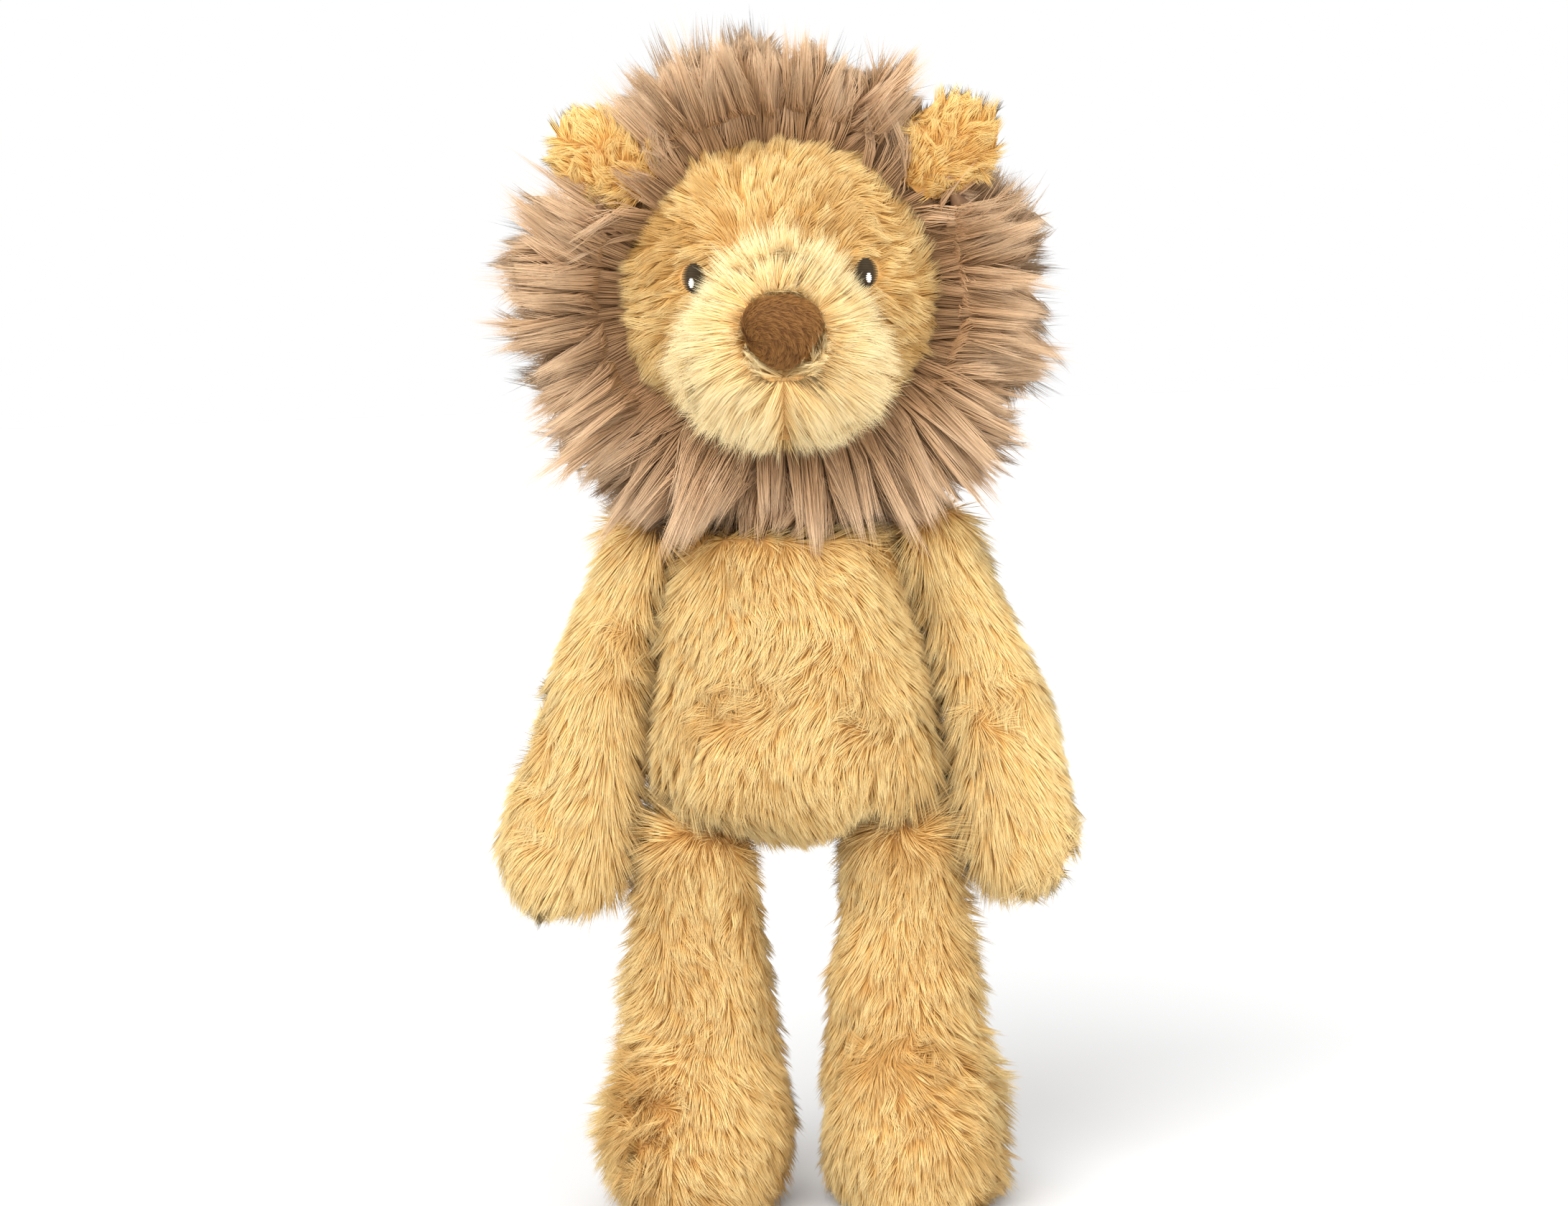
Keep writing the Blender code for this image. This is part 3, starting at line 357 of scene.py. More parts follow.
def keep_largest(piece):
    """Drops what the remesh left inside."""
    mesh_data = bmesh.new()
    mesh_data.from_mesh(piece.data)
    waiting = set(mesh_data.verts)
    groups = []
    while waiting:
        group, front = set(), [next(iter(waiting))]
        while front:
            vert = front.pop()
            if vert in group:
                continue
            group.add(vert)
            front.extend(edge.other_vert(vert) for edge in vert.link_edges)
        waiting -= group
        groups.append(group)
    largest = max(groups, key=len)
    extra = [vert for vert in mesh_data.verts if vert not in largest]
    bmesh.ops.delete(mesh_data, geom=extra, context="VERTS")
    mesh_data.to_mesh(piece.data)
    mesh_data.free()


FILLING_PRESSURE = 4.0
FILLING_FRAMES = 20
FILLING_CAP = 0.004


def fill_with_fibre(body):
    """Cloth simulation: the skin swells under pressure, and keeps the shape it settles in."""
    before, _ = mesh_points(body)
    choose(body)
    bpy.ops.object.modifier_add(type="CLOTH")
    cloth = body.modifiers[-1]
    cloth.settings.use_pressure = True
    cloth.settings.uniform_pressure_force = FILLING_PRESSURE
    cloth.settings.effector_weights.gravity = 0
    cloth.point_cache.frame_end = FILLING_FRAMES
    for step in range(1, FILLING_FRAMES + 1):
        bpy.context.scene.frame_set(step)
    bpy.ops.object.modifier_apply(modifier=cloth.name)
    bpy.context.scene.frame_set(1)
    moved = mesh_points(body)[0] - before
    far = np.linalg.norm(moved, axis=1, keepdims=True)
    points = before + moved * np.minimum(1, FILLING_CAP / np.maximum(far, 1e-9))
    body.data.vertices.foreach_set("co", points.astype(np.float32).ravel())
    body.data.update()
    print(body.name, "swelled by up to", round(float(far.max()) / MM, 2), "mm")


def stuffed_body(name, nodes, voxel, draw_in, lumps, seed, smooth=12, filled=False):
    """A smooth closed body in the space of some frame nodes, drawn in by the pile."""
    body = loose_copy(nodes, name)
    apply_modifier(body, "REMESH", mode="VOXEL", voxel_size=voxel)
    keep_largest(body)
    apply_modifier(body, "SMOOTH", factor=0.5, iterations=smooth)
    if draw_in:
        apply_modifier(body, "DISPLACE", strength=-draw_in, mid_level=0.0)
    if filled:
        fill_with_fibre(body)
        apply_modifier(body, "SUBSURF", levels=1, render_levels=1)
    apply_modifier(body, "SMOOTH", factor=0.4, iterations=4)
    points, normals = mesh_points(body)
    points += normals * (slow_waves(points, 0.032, seed) * lumps)[:, None]
    body.data.vertices.foreach_set("co", points.astype(np.float32).ravel())
    body.data.update()
    body.data.shade_smooth()
    print(name, "faces", len(body.data.polygons))
    return body


def mesh_points(piece):
    """Vertex places and normals as arrays."""
    count = len(piece.data.vertices)
    points = np.empty(count * 3, np.float32)
    normals = np.empty(count * 3, np.float32)
    piece.data.vertices.foreach_get("co", points)
    piece.data.vertices.foreach_get("normal", normals)
    return points.reshape(-1, 3).astype(float), normals.reshape(-1, 3).astype(float)


# %% [markdown]
# ## Growing pile
# Strands can't be placed by hand, so they are grown: roots are scattered evenly over the
# backing, each gets a direction from how that panel is combed, and roots that stand near
# each other lean together into a tuft. Each strand is a thin closed needle with three
# sides. Short pile is straight, and the longer hair of mane and tail bends as it rises.
# Long hair is drawn together a second time, into locks that end in a point.

# %% Scatter roots
def scatter(piece, per_mm2, chance):
    """Places spread over a mesh by area, with the surface's normal at each."""
    piece.data.calc_loop_triangles()
    corners = np.empty(len(piece.data.loop_triangles) * 3, np.int32)
    piece.data.loop_triangles.foreach_get("vertices", corners)
    corners = corners.reshape(-1, 3)
    points, normals = mesh_points(piece)
    first, second, third = (points[corners[:, k]] for k in range(3))
    areas = np.linalg.norm(np.cross(second - first, third - first), axis=1) / 2
    count = int(areas.sum() / MM ** 2 * per_mm2)
    picks = (np.arange(count) + chance.random(count)) / count * areas.sum()
    chosen = np.minimum(np.searchsorted(np.cumsum(areas), picks), len(areas) - 1)
    across, up = chance.random(count), chance.random(count)
    over = across + up > 1
    across[over], up[over] = 1 - across[over], 1 - up[over]
    weights = np.stack([1 - across - up, across, up], axis=1)
    places = (points[corners[chosen]] * weights[:, :, None]).sum(axis=1)
    facing = unit((normals[corners[chosen]] * weights[:, :, None]).sum(axis=1))
    return places, facing


# %% Gather tufts
def tuft_members(roots, size):
    """A tuft number for each root: cells of a skewed, wavering grid."""
    wander = wave_vectors(roots, size * 3.1, 91) * size * 0.45
    skew = np.array([[1.0, 0.31, 0.17], [-0.23, 1.0, 0.29], [0.11, -0.37, 1.0]])
    cells = np.floor((roots + wander) @ skew / size).astype(np.int64)
    _, members = np.unique(cells, axis=0, return_inverse=True)
    return members.ravel()


def tuft_mean(values, members):
    """Each member's tuft average."""
    sizes = np.maximum(np.bincount(members), 1)
    if values.ndim == 1:
        return (np.bincount(members, values) / sizes)[members]
    means = [np.bincount(members, values[:, axis]) / sizes for axis in range(values.shape[1])]
    return np.stack(means, axis=1)[members]


# %% Build the strands' mesh
OWN_SHARE = 0.60


def needle_faces(rings):
    """One needle's faces: four-cornered sides, the point's three sides, and the foot."""
    faces = []
    for ring in range(rings - 1):
        for corner in range(3):
            after = (corner + 1) % 3
            low, high = ring * 3, ring * 3 + 3
            faces.append((low + corner, low + after, high + after, high + corner))
    top = (rings - 1) * 3
    faces += [(top + corner, top + (corner + 1) % 3, rings * 3) for corner in range(3)]
    faces.append((2, 1, 0))
    return faces


def strand_mesh(name, spines, widths, sides, tone):
    """Closed tapering needles. spines: count x steps x 3, the last step being the tip."""
    count, steps, _ = spines.shape
    rings = steps - 1
    heading = unit(spines[:, 1] - spines[:, 0])
    across = unit(np.cross(heading, sides))
    other = np.cross(heading, across)
    per = rings * 3 + 1
    verts = np.empty((count, per, 3))
    facing = np.empty((count, per, 3))
    along = np.empty((count, per))
    for ring in range(rings):
        share = ring / rings
        reach = widths * (1.0 - 0.55 * share ** 1.5) / 2
        for corner in range(3):
            turn = math.tau * corner / 3
            offset = (across * math.cos(turn) + other * math.sin(turn)) * reach[:, None]
            verts[:, ring * 3 + corner] = spines[:, ring] + offset
            facing[:, ring * 3 + corner] = unit(offset) * OWN_SHARE + sides * (1 - OWN_SHARE)
            along[:, ring * 3 + corner] = share
    verts[:, -1] = spines[:, -1]
    facing[:, -1] = sides
    along[:, -1] = 1.0

    faces = needle_faces(rings)
    pattern = [vert for face in faces for vert in face]
    starts = np.cumsum([0] + [len(face) for face in faces[:-1]])
    loops = (np.array(pattern)[None, :] + (np.arange(count) * per)[:, None]).ravel()
    firsts = (starts[None, :] + (np.arange(count) * len(pattern))[:, None]).ravel()
    mesh = bpy.data.meshes.new(name)
    mesh.vertices.add(count * per)
    mesh.vertices.foreach_set("co", verts.astype(np.float32).ravel())
    mesh.loops.add(len(loops))
    mesh.loops.foreach_set("vertex_index", loops.astype(np.int32))
    mesh.polygons.add(len(firsts))
    mesh.polygons.foreach_set("loop_start", firsts.astype(np.int32))
    mesh.update(calc_edges=True)
    store(mesh, "along", along.ravel())
    store(mesh, "tone", np.repeat(tone, per))
    lay_out_map(mesh, loops, along.ravel(), np.repeat(tone, per), per)
    mesh.shade_smooth()
    mesh.normals_split_custom_set_from_vertices(unit(facing.reshape(-1, 3)).astype(np.float32))
    made = bpy.data.objects.new(name, mesh)
    bpy.context.scene.collection.objects.link(made)
    return made


def store(mesh, name, values):
    """Keeps one number for each vertex, which the material reads by name."""
    layer = mesh.attributes.new(name, "FLOAT", "POINT")
    layer.data.foreach_set("value", values.astype(np.float32))


MAP_STRIP = 0.012


def lay_out_map(mesh, loops, along, tone, per):
    """A UV map that puts tone across and root to tip upward, a thin strip to each strand."""
    corner = (loops % per) % 3
    across = 0.02 + tone[loops] * 0.94 + corner * MAP_STRIP / 2
    up = 0.02 + along[loops] * 0.96
    layer = mesh.uv_layers.new(name="OFBake")
    pairs = np.stack([across, up], axis=1).astype(np.float32)
    layer.data.foreach_set("uv", pairs.ravel())


# %% Grow a coat
LOCK_GATHER = 0.64
LOCK_MIDDLE_SHARE = 1.20
LOCK_TAPER_SHARE = 0.80
STRAND_SWING_SHARE = 0.35
TUFT_LENGTH_SPREAD = 0.14
STRAND_LENGTH_SPREAD = 0.12
LIFT_SPREAD = 0.18
MIDDLE_TONE = 0.62
TUFT_TONE_SPREAD = 0.16
STRAND_TONE_SPREAD = 0.07
TONE_DRIFT = 0.14
TONE_DRIFT_SIZE = 0.045


def grow(name, roots, normals, comb, length, lift, width, tuft, gather, seed,
         steps=1, droop=0.0, stray=0.25, floor_height=None, tone_shift=0.0, lock=None):
    """Strands that rise by `lift`, lie along `comb` and draw together by `gather`."""
    chance = np.random.default_rng(seed)
    count = len(roots)
    members = tuft_members(roots, tuft)
    groups = members.max() + 1 if count else 1
    flat = comb - normals * (comb * normals).sum(axis=1, keepdims=True)
    flat = unit(flat)
    swing = chance.normal(size=(groups, 3))[members] * stray
    swing += chance.normal(size=(count, 3)) * stray * STRAND_SWING_SHARE
    flat = unit(flat + swing - normals * (swing * normals).sum(axis=1, keepdims=True))
    scale = 1 + TUFT_LENGTH_SPREAD * chance.normal(size=groups)[members]
    scale *= 1 + STRAND_LENGTH_SPREAD * chance.normal(size=count)
    reach = (length * np.clip(scale, 0.5, 1.5))[:, None]
    rise = lift * (1 + LIFT_SPREAD * chance.normal(size=groups)[members])
    rise = np.clip(rise, 0.05, 0.95)[:, None]
    spread = np.sqrt(np.maximum(1 - rise ** 2, 0.05))
    if lock:
        locks = tuft_members(roots, lock)
        off_middle = np.linalg.norm(roots - tuft_mean(roots, locks), axis=1)
        reach *= (LOCK_MIDDLE_SHARE - LOCK_TAPER_SHARE * np.clip(off_middle / lock, 0, 0.7))[:, None]
    centres = tuft_mean(roots, members)
    tips = roots + normals * rise * reach + flat * spread * reach
    tip_centres = tuft_mean(tips, members)
    spines = np.empty((count, steps + 1, 3))
    for step in range(steps + 1):
        share = step / steps
        upright = rise * (1.6 * share - 0.6 * share ** 2)
        forward = spread * (0.45 * share + 0.55 * share ** 2)
        place = roots + (normals * upright + flat * forward) * reach
        place[:, 2] -= droop * share ** 2 * reach[:, 0]
        target = centres + (tip_centres - centres) * share
        place += (target - place) * (gather * share ** 1.4)
        if lock:
            pointed = tuft_mean(roots, locks) * (1 - share) + tuft_mean(tips, locks) * share
            along_lock = ((place - pointed) * flat).sum(axis=1, keepdims=True) * flat
            place += (pointed + along_lock - place) * (LOCK_GATHER * share ** 1.6)
        if floor_height is not None:
            place[:, 2] = np.maximum(place[:, 2], floor_height + width)
        spines[:, step] = place
    tone = MIDDLE_TONE + TUFT_TONE_SPREAD * chance.normal(size=groups)[members]
    tone += STRAND_TONE_SPREAD * chance.normal(size=count)
    tone += TONE_DRIFT * slow_waves(roots, TONE_DRIFT_SIZE, seed + 5) + tone_shift
    widths = np.full(count, width) * (0.75 + 0.5 * chance.random(count))
    made = strand_mesh(name, spines, widths, normals, np.clip(tone, 0.02, 0.98))
    print(name, "strands", count, "faces", len(made.data.polygons))
    return made


def wear(piece, body, material):
    """Gives the piece its finish and places it on its body."""
    piece.data.materials.clear()
    piece.data.materials.append(material)
    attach(piece, body)


# %% [markdown]
# ## How much pile
# One strand stands for a lock of finer hairs.

# %% Pile sizes
THIN = 1.0
THICK = 1.0
COAT_LENGTH = 0.0090
COAT_WIDTH = 0.00041 * THICK
COAT_PER_MM2 = 2.0 * THIN
PILE_HEIGHT = 0.0044
COMB_PATCH_SIZE = 0.040
CURL_PATCH_SIZE = 0.050
CURL_SIZE = 0.012
CURL_TONE_DROP = 0.30
INNER_LIFT = 0.34
INNER_LENGTH_SHARE = 0.45
FULL_LIFT = 0.30
FULL_LENGTH_SHARE = 0.8

# %% [markdown]
# ## Legs
# The legs flare from the hip to a broad foot. Their pile is combed down the leg but
# swirls in patches, because such cloth is washed and tumbled after it is sewn. Where two
# limbs or a limb and the torso meet, longer and more upright pile closes the slit.

# %% Comb fields
def swirl(points, downward, strength, size, seed):
    """Combed one way, with patches that turn aside."""
    return downward + wave_vectors(points, size, seed) * strength


def body_coat(base, name, body, seed, strength, keep=None, across=0.0, inner=None, fuller=None,
              **changes):
    """Short pile over one stuffed body, longer and more upright on the side that faces
    `inner`. `fuller` gives the places, 0 to 1, where it is longer and more upright too."""
    chance = np.random.default_rng(seed)
    roots, normals = scatter(base, COAT_PER_MM2, chance)
    if keep is not None:
        kept = keep(roots, normals)
        roots, normals = roots[kept], normals[kept]
    down = np.tile(np.array([across, -0.12, -1.0]), (len(roots), 1))
    curled = np.clip(slow_waves(roots, CURL_PATCH_SIZE, seed + 60) * 1.6 - 0.7, 0, 1)
    comb = swirl(roots, down, strength, COMB_PATCH_SIZE, seed + 20)
    comb += wave_vectors(roots, CURL_SIZE, seed + 80) * (curled * 1.6)[:, None]
    settings = {
        "length": COAT_LENGTH, "lift": 0.47, "width": COAT_WIDTH, "stray": 0.20,
        "tuft": 0.0034, "gather": 0.22, "seed": seed + 40, "tone_shift": 0.0,
    }
    settings.update(changes)
    settings["tone_shift"] = settings["tone_shift"] - CURL_TONE_DROP * curled
    if inner is not None:
        facing = np.clip(normals @ np.array(inner), 0, 1)
        settings["lift"] = settings["lift"] + INNER_LIFT * facing
        settings["length"] = settings["length"] * (1 + INNER_LENGTH_SHARE * facing)
    if fuller is not None:
        more = fuller(roots)
        settings["length"] = settings["length"] * (1 + FULL_LENGTH_SHARE * more)
        settings["lift"] = settings["lift"] + FULL_LIFT * more
    coat = grow(name, roots, normals, comb, **settings)
    wear(coat, body, gold_pile)


# %% Make the legs
THIGH_HEIGHT = 0.118
THIGH_SPREAD = 0.015


def at_the_thigh(roots):
    """The leg's top, where it meets the seat."""
    return 0.7 * np.clip((roots[:, 2] - THIGH_HEIGHT) / THIGH_SPREAD, 0, 1)


for word, side in (("left", 1), ("right", -1)):
    nodes = [f"leg_{word}_{part}" for part in ("skin", "stuffing", "pellet_bag", "sole")]
    leg = stuffed_body(
        f"leg_{word}_cloth", nodes, voxel=0.0045, draw_in=PILE_HEIGHT * 0.8, lumps=0.0011,
        seed=11 + side, smooth=3, filled=True,
    )
    wear(leg, f"leg_{word}", gold_backing)
    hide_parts(*nodes)
    body_coat(
        leg, f"leg_{word}_pile", f"leg_{word}", 100 + side, 0.50, floor_height=0.0,
        inner=(side * 0.5, 0.0, 0.8), length=COAT_LENGTH * 0.9, gather=0.18,
        tone_shift=-0.17, fuller=at_the_thigh,
    )

# %% [markdown]
# ## Arms
# The arms are plainer: their pile runs down and a little outwards, from the shoulder to
# the paw.

# %% Make the arms
SHOULDER_HEIGHT = 0.216
SHOULDER_SPREAD = 0.012


def at_the_shoulder(roots):
    """The arm's top, where it meets the mane."""
    return 0.5 * np.clip((roots[:, 2] - SHOULDER_HEIGHT) / SHOULDER_SPREAD, 0, 1)


for word, side in (("left", 1), ("right", -1)):
    nodes = [f"arm_{word}_{part}" for part in ("skin", "stuffing")]
    arm = stuffed_body(
        f"arm_{word}_cloth", nodes, voxel=0.0040, draw_in=0.0030, lumps=0.0009,
        seed=21 + side, smooth=2, filled=True,
    )
    wear(arm, f"arm_{word}", gold_backing)
    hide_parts(*nodes)
    body_coat(
        arm, f"arm_{word}_pile", f"arm_{word}", 140 + side, 0.28, across=side * 0.5,
        inner=(-side, 0.0, 0.0), fuller=at_the_shoulder, length=COAT_LENGTH * 1.05,
        lift=0.36, stray=0.12, gather=0.13, tone_shift=0.26,
    )

# %% [markdown]
# ## Torso
# A pear of the same cloth. Its coat is grown in two halves, front and back, to keep each
# piece small. It is fuller at the hips, where torso, arm and leg meet.

# %% Make the torso
torso_nodes = ["torso_skin", "torso_stuffing", "seat_pellet_bag"]
torso = stuffed_body(
    "torso_cloth", torso_nodes, voxel=0.0045, draw_in=PILE_HEIGHT * 0.7, lumps=0.0013,
    seed=31, smooth=3, filled=True,
)
wear(torso, "torso", gold_backing)
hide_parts(*torso_nodes)
torso_low, torso_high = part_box("torso_skin")
torso_middle = (torso_low + torso_high) / 2
middle_depth = torso_middle.y
HIP_FILL_HEIGHT = 0.140
HIP_FILL_SPREAD = 0.011


def at_the_hips(roots):
    """The low sides of the seat, where torso, arm and leg meet."""
    level = np.exp(-((roots[:, 2] - HIP_FILL_HEIGHT) / HIP_FILL_SPREAD) ** 2)
    outer = np.abs(roots[:, 0] - torso_middle.x) / (torso_high.x - torso_middle.x)
    return level * np.clip(outer * 2.2 - 1.0, 0, 1)


body_coat(
    torso, "torso_pile_front", "torso", 160, 0.65, fuller=at_the_hips,
    keep=lambda roots, normals: roots[:, 1] < middle_depth,
)
body_coat(
    torso, "torso_pile_back", "torso", 170, 0.6, fuller=at_the_hips,
    keep=lambda roots, normals: roots[:, 1] >= middle_depth,
)

# %% [markdown]
# ## Head
# The face is round. Its pile runs outwards from between the eyes, and is clipped shorter
# there, so that the embroidered eyes stay clear. A painted shade darkens its pile in a ring
# round the muzzle.

# %% Measure the head
head_low, head_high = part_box("head_skin")
head_middle = (head_low + head_high) / 2
nose_low, nose_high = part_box("nose")
nose_middle = (nose_low + nose_high) / 2
eye_middles = {
    word: sum(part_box(f"eye_{word}"), Vector()) / 2 for word in ("left", "right")
}
print("head middle", [round(v, 4) for v in head_middle])


def away_from(points, place):
    """Directions that lead away from one place."""
    return unit(points - np.array(place))


# %% Make the face
head_nodes = ["head_skin", "head_stuffing"]
face = stuffed_body(
    "head_cloth", head_nodes, voxel=0.0045, draw_in=PILE_HEIGHT, lumps=0.0010,
    seed=41, smooth=3, filled=True,
)
wear(face, "head", gold_backing)
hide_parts(*head_nodes)

FACE_BACK = head_middle.y + 0.004
FACE_LENGTH = COAT_LENGTH * 0.86
EYE_CLEAR = 0.0043
EYE_CLIPPED = 0.001
EYE_CLIPPED_SPREAD = 0.008
BROW_RISE = 0.016
BROW_SPREAD = 0.009
BROW_TONE_DROP = 0.24
MUZZLE_RING_SHADE_SPREAD = 0.22
MUZZLE_RING_SHADE_DROP = 0.14
brow = Vector((head_middle.x, head_low.y, eye_middles["left"].z))


def from_eyes(roots):
    """How far each root stands from the nearer eye, as seen from the front."""
    return np.min([
        np.linalg.norm((roots - np.array(place))[:, (0, 2)], axis=1) for place in eye_middles.values()
    ], axis=0)


chance = np.random.default_rng(51)
roots, normals = scatter(face, COAT_PER_MM2 * 1.15, chance)
kept = (roots[:, 1] < FACE_BACK) & (from_eyes(roots) > EYE_CLEAR)
roots, normals = roots[kept], normals[kept]
outward = away_from(roots, brow)
comb = swirl(roots, outward, 0.55, 0.034, 61)
muzzle_low, muzzle_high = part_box("muzzle_skin")
muzzle_middle = (muzzle_low + muzzle_high) / 2
beside_muzzle = np.hypot(
    (roots[:, 0] - muzzle_middle.x) / (muzzle_high.x - muzzle_low.x),
    (roots[:, 2] - muzzle_middle.z) / (muzzle_high.z - muzzle_low.z),
) * 2
over_brows = np.exp(-((roots[:, 2] - brow.z - BROW_RISE) / BROW_SPREAD) ** 2)
# painted shade: the face's pile is darker in a ring round the muzzle, where the muzzle shades the face
shade_round_muzzle = np.exp(-((beside_muzzle - 1.0) / MUZZLE_RING_SHADE_SPREAD) ** 2)
clipped = np.clip((from_eyes(roots) - EYE_CLIPPED) / EYE_CLIPPED_SPREAD, 0.4, 1)
face_pile = grow(
    "face_pile", roots, normals, comb, length=FACE_LENGTH * clipped, lift=0.50, width=COAT_WIDTH,
    tuft=0.0040, gather=0.36, seed=52,
    tone_shift=-0.20 - MUZZLE_RING_SHADE_DROP * shade_round_muzzle - BROW_TONE_DROP * over_brows,
)
wear(face_pile, "head", gold_pile)

# %% [markdown]
# ## Muzzle
# The muzzle is a paler dome with longer, straighter pile that radiates from the nose, and
# over its top stands forward. The two halves of the cloth meet in a seam under the nose,
# where the pile parts.

# %% Make the muzzle
muzzle_nodes = ["muzzle_skin", "muzzle_stuffing"]
muzzle = stuffed_body("muzzle_cloth", muzzle_nodes, voxel=0.0020, draw_in=0.0050, lumps=0.0004, seed=71)
wear(muzzle, "head", gold_backing)
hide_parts(*muzzle_nodes)

MUZZLE_DEPTH = 0.016
MUZZLE_TOP_DEPTH = 0.008
NOSE_HALF_WIDTH = 0.0112
NOSE_HALF_HEIGHT = 0.0102
NOSE_TILT = 0.75
NOSE_TILT_START = 0.002
NOSE_TILT_SPREAD = 0.006
MUZZLE_LENGTH = 0.0130
MUZZLE_CLIPPED = 0.003
MUZZLE_CLIPPED_SPREAD = 0.012
PARTING_WIDTH = 0.006
PARTING_TURN = 0.9

chance = np.random.default_rng(72)
roots, normals = scatter(muzzle, COAT_PER_MM2 * 1.7, chance)
front_only = roots[:, 1] < head_low.y + MUZZLE_DEPTH + MUZZLE_TOP_DEPTH * (roots[:, 2] > nose_high.z)
not_nose = np.hypot(
    (roots[:, 0] - nose_middle.x) / NOSE_HALF_WIDTH, (roots[:, 2] - nose_middle.z) / NOSE_HALF_HEIGHT
) > 1
kept = front_only & not_nose
roots, normals = roots[kept], normals[kept]
over_nose = np.clip((roots[:, 2] - nose_high.z + NOSE_TILT_START) / NOSE_TILT_SPREAD, 0, 1)
normals[:, 1] -= NOSE_TILT * over_nose
normals /= np.linalg.norm(normals, axis=1, keepdims=True)
outward = away_from(roots, nose_middle + Vector((0, 0.006, 0)))
below = roots[:, 2] < nose_middle.z
outward[~below, 1] *= 0.2
parting = np.exp(-((roots[:, 0] - nose_middle.x) / PARTING_WIDTH) ** 2) * below
outward[:, 0] += np.sign(roots[:, 0] - nose_middle.x) * parting * PARTING_TURN
comb = swirl(roots, outward, 0.16, 0.03, 73)
clipped = np.clip((from_eyes(roots) - MUZZLE_CLIPPED) / MUZZLE_CLIPPED_SPREAD, 0.30, 1)
muzzle_coat = grow(
    "muzzle_pile_coat", roots, normals, comb, length=MUZZLE_LENGTH * clipped, lift=0.62,
    width=COAT_WIDTH * 0.85, tuft=0.0032, gather=0.20, seed=74, stray=0.18, tone_shift=0.24,
)
wear(muzzle_coat, "head", muzzle_pile)

# %% [markdown]
# ## Nose
# A rounded triangle of velour, padded from behind. A fine noise gives the cloth its grain,
# and a coarser noise paints streaks of shade, as where the nap lies away from the light.
# The nap is about 2 mm long, and is grown like the other pile, much finer, and swept in a curl.

# %% Make the nose
nose_finish = Finish("nose velour", 0.85, Specular_IOR_Level=0.2)
grain = nose_finish.noise(900.0, 4.0)
# painted shade: coarse streaks darken the velour, as where its nap lies away from the light
nap_shade_streaks = nose_finish.noise(90.0, 2.0)
nose_grain_colour = nose_finish.mix(grain, linear(84, 54, 26), linear(112, 76, 42))
nose_finish.colour(nose_finish.mix(nap_shade_streaks * 0.6, nose_grain_colour, linear(70, 44, 20)))
nose_finish.bump(grain, 0.0005, 0.8)

nose = stuffed_body("nose_velour", ["nose"], voxel=0.0009, draw_in=0.0010, lumps=0.0, seed=81, smooth=4)
wear(nose, "head", nose_finish.material)
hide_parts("nose")

NAP_PER_MM2 = 7.0 * THIN
NAP_LENGTH = 0.0022
NAP_WIDTH = 0.00022 * THICK
NAP_REACH_BACK = 0.002

chance = np.random.default_rng(82)
roots, normals = scatter(nose, NAP_PER_MM2, chance)
kept = roots[:, 1] < nose_middle.y + NAP_REACH_BACK
roots, normals = roots[kept], normals[kept]
comb = np.stack([
    np.sin((roots[:, 2] - nose_middle.z) * 140) + 0.6, roots[:, 0] * 0,
    -0.5 - (roots[:, 0] - nose_middle.x) * 70,
], axis=1)
nap_coat = grow(
    "nose_nap", roots, normals, comb, length=NAP_LENGTH, lift=0.30, width=NAP_WIDTH,
    tuft=0.0016, gather=0.2, seed=83, stray=0.3,
)
wear(nap_coat, "head", nose_pile)

# %% [markdown]
# ## Eyes
# Each eye is satin stitch: level threads laid side by side in an oval, with a few white
# stitches for the light in it. One thread is a sphere drawn out into a thin spindle.

# %% Stitch the eyes
thread_finish = Finish("eye thread", 0.6, Specular_IOR_Level=0.2)
fibres = thread_finish.noise(300.0)
thread_finish.colour(thread_finish.mix(fibres, linear(38, 30, 18), linear(68, 54, 34)))
white_finish = Finish("white thread", 0.4)
white_fibres = white_finish.noise(300.0)
white_finish.colour(white_finish.mix(white_fibres, linear(225, 225, 220), linear(250, 250, 246)))

THREAD_SPACING = 0.00052
THREAD_HALF_WIDTH = THREAD_SPACING * 0.62
ARCH_SHARE = 0.18


def stitched_oval(name, node, material, proud):
    """Level threads across an oval patch, arched over its padding."""
    low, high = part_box(node)
    middle = (low + high) / 2
    half_width, half_height = (high.x - low.x) / 2, (high.z - low.z) / 2
    rows = int(2 * half_height / THREAD_SPACING)
    threads = []
    for row in range(rows):
        up = -half_height + (row + 0.5) * 2 * half_height / rows
        half = half_width * math.sqrt(max(1 - (up / half_height) ** 2, 0.02))
        bpy.ops.mesh.primitive_uv_sphere_add(segments=12, ring_count=8, radius=1.0)
        thread = bpy.context.object
        for vert in thread.data.vertices:
            spot = vert.co.copy()
            arch = (1 - (spot.x * half / half_width) ** 2) * (1 - (up / half_height) ** 2)
            vert.co = Vector((
                middle.x + spot.x * half,
                low.y - proud - arch * (high.y - low.y) * ARCH_SHARE + spot.y * THREAD_HALF_WIDTH,
                middle.z + up + spot.z * THREAD_HALF_WIDTH,
            ))
        threads.append(thread)
    deselect()
    for thread in threads:
        thread.select_set(True)
    bpy.context.view_layer.objects.active = threads[0]
    bpy.ops.object.join()
    patch = bpy.context.object
    patch.name = name
    patch.data.shade_smooth()
    wear(patch, "head", material)
    return patch


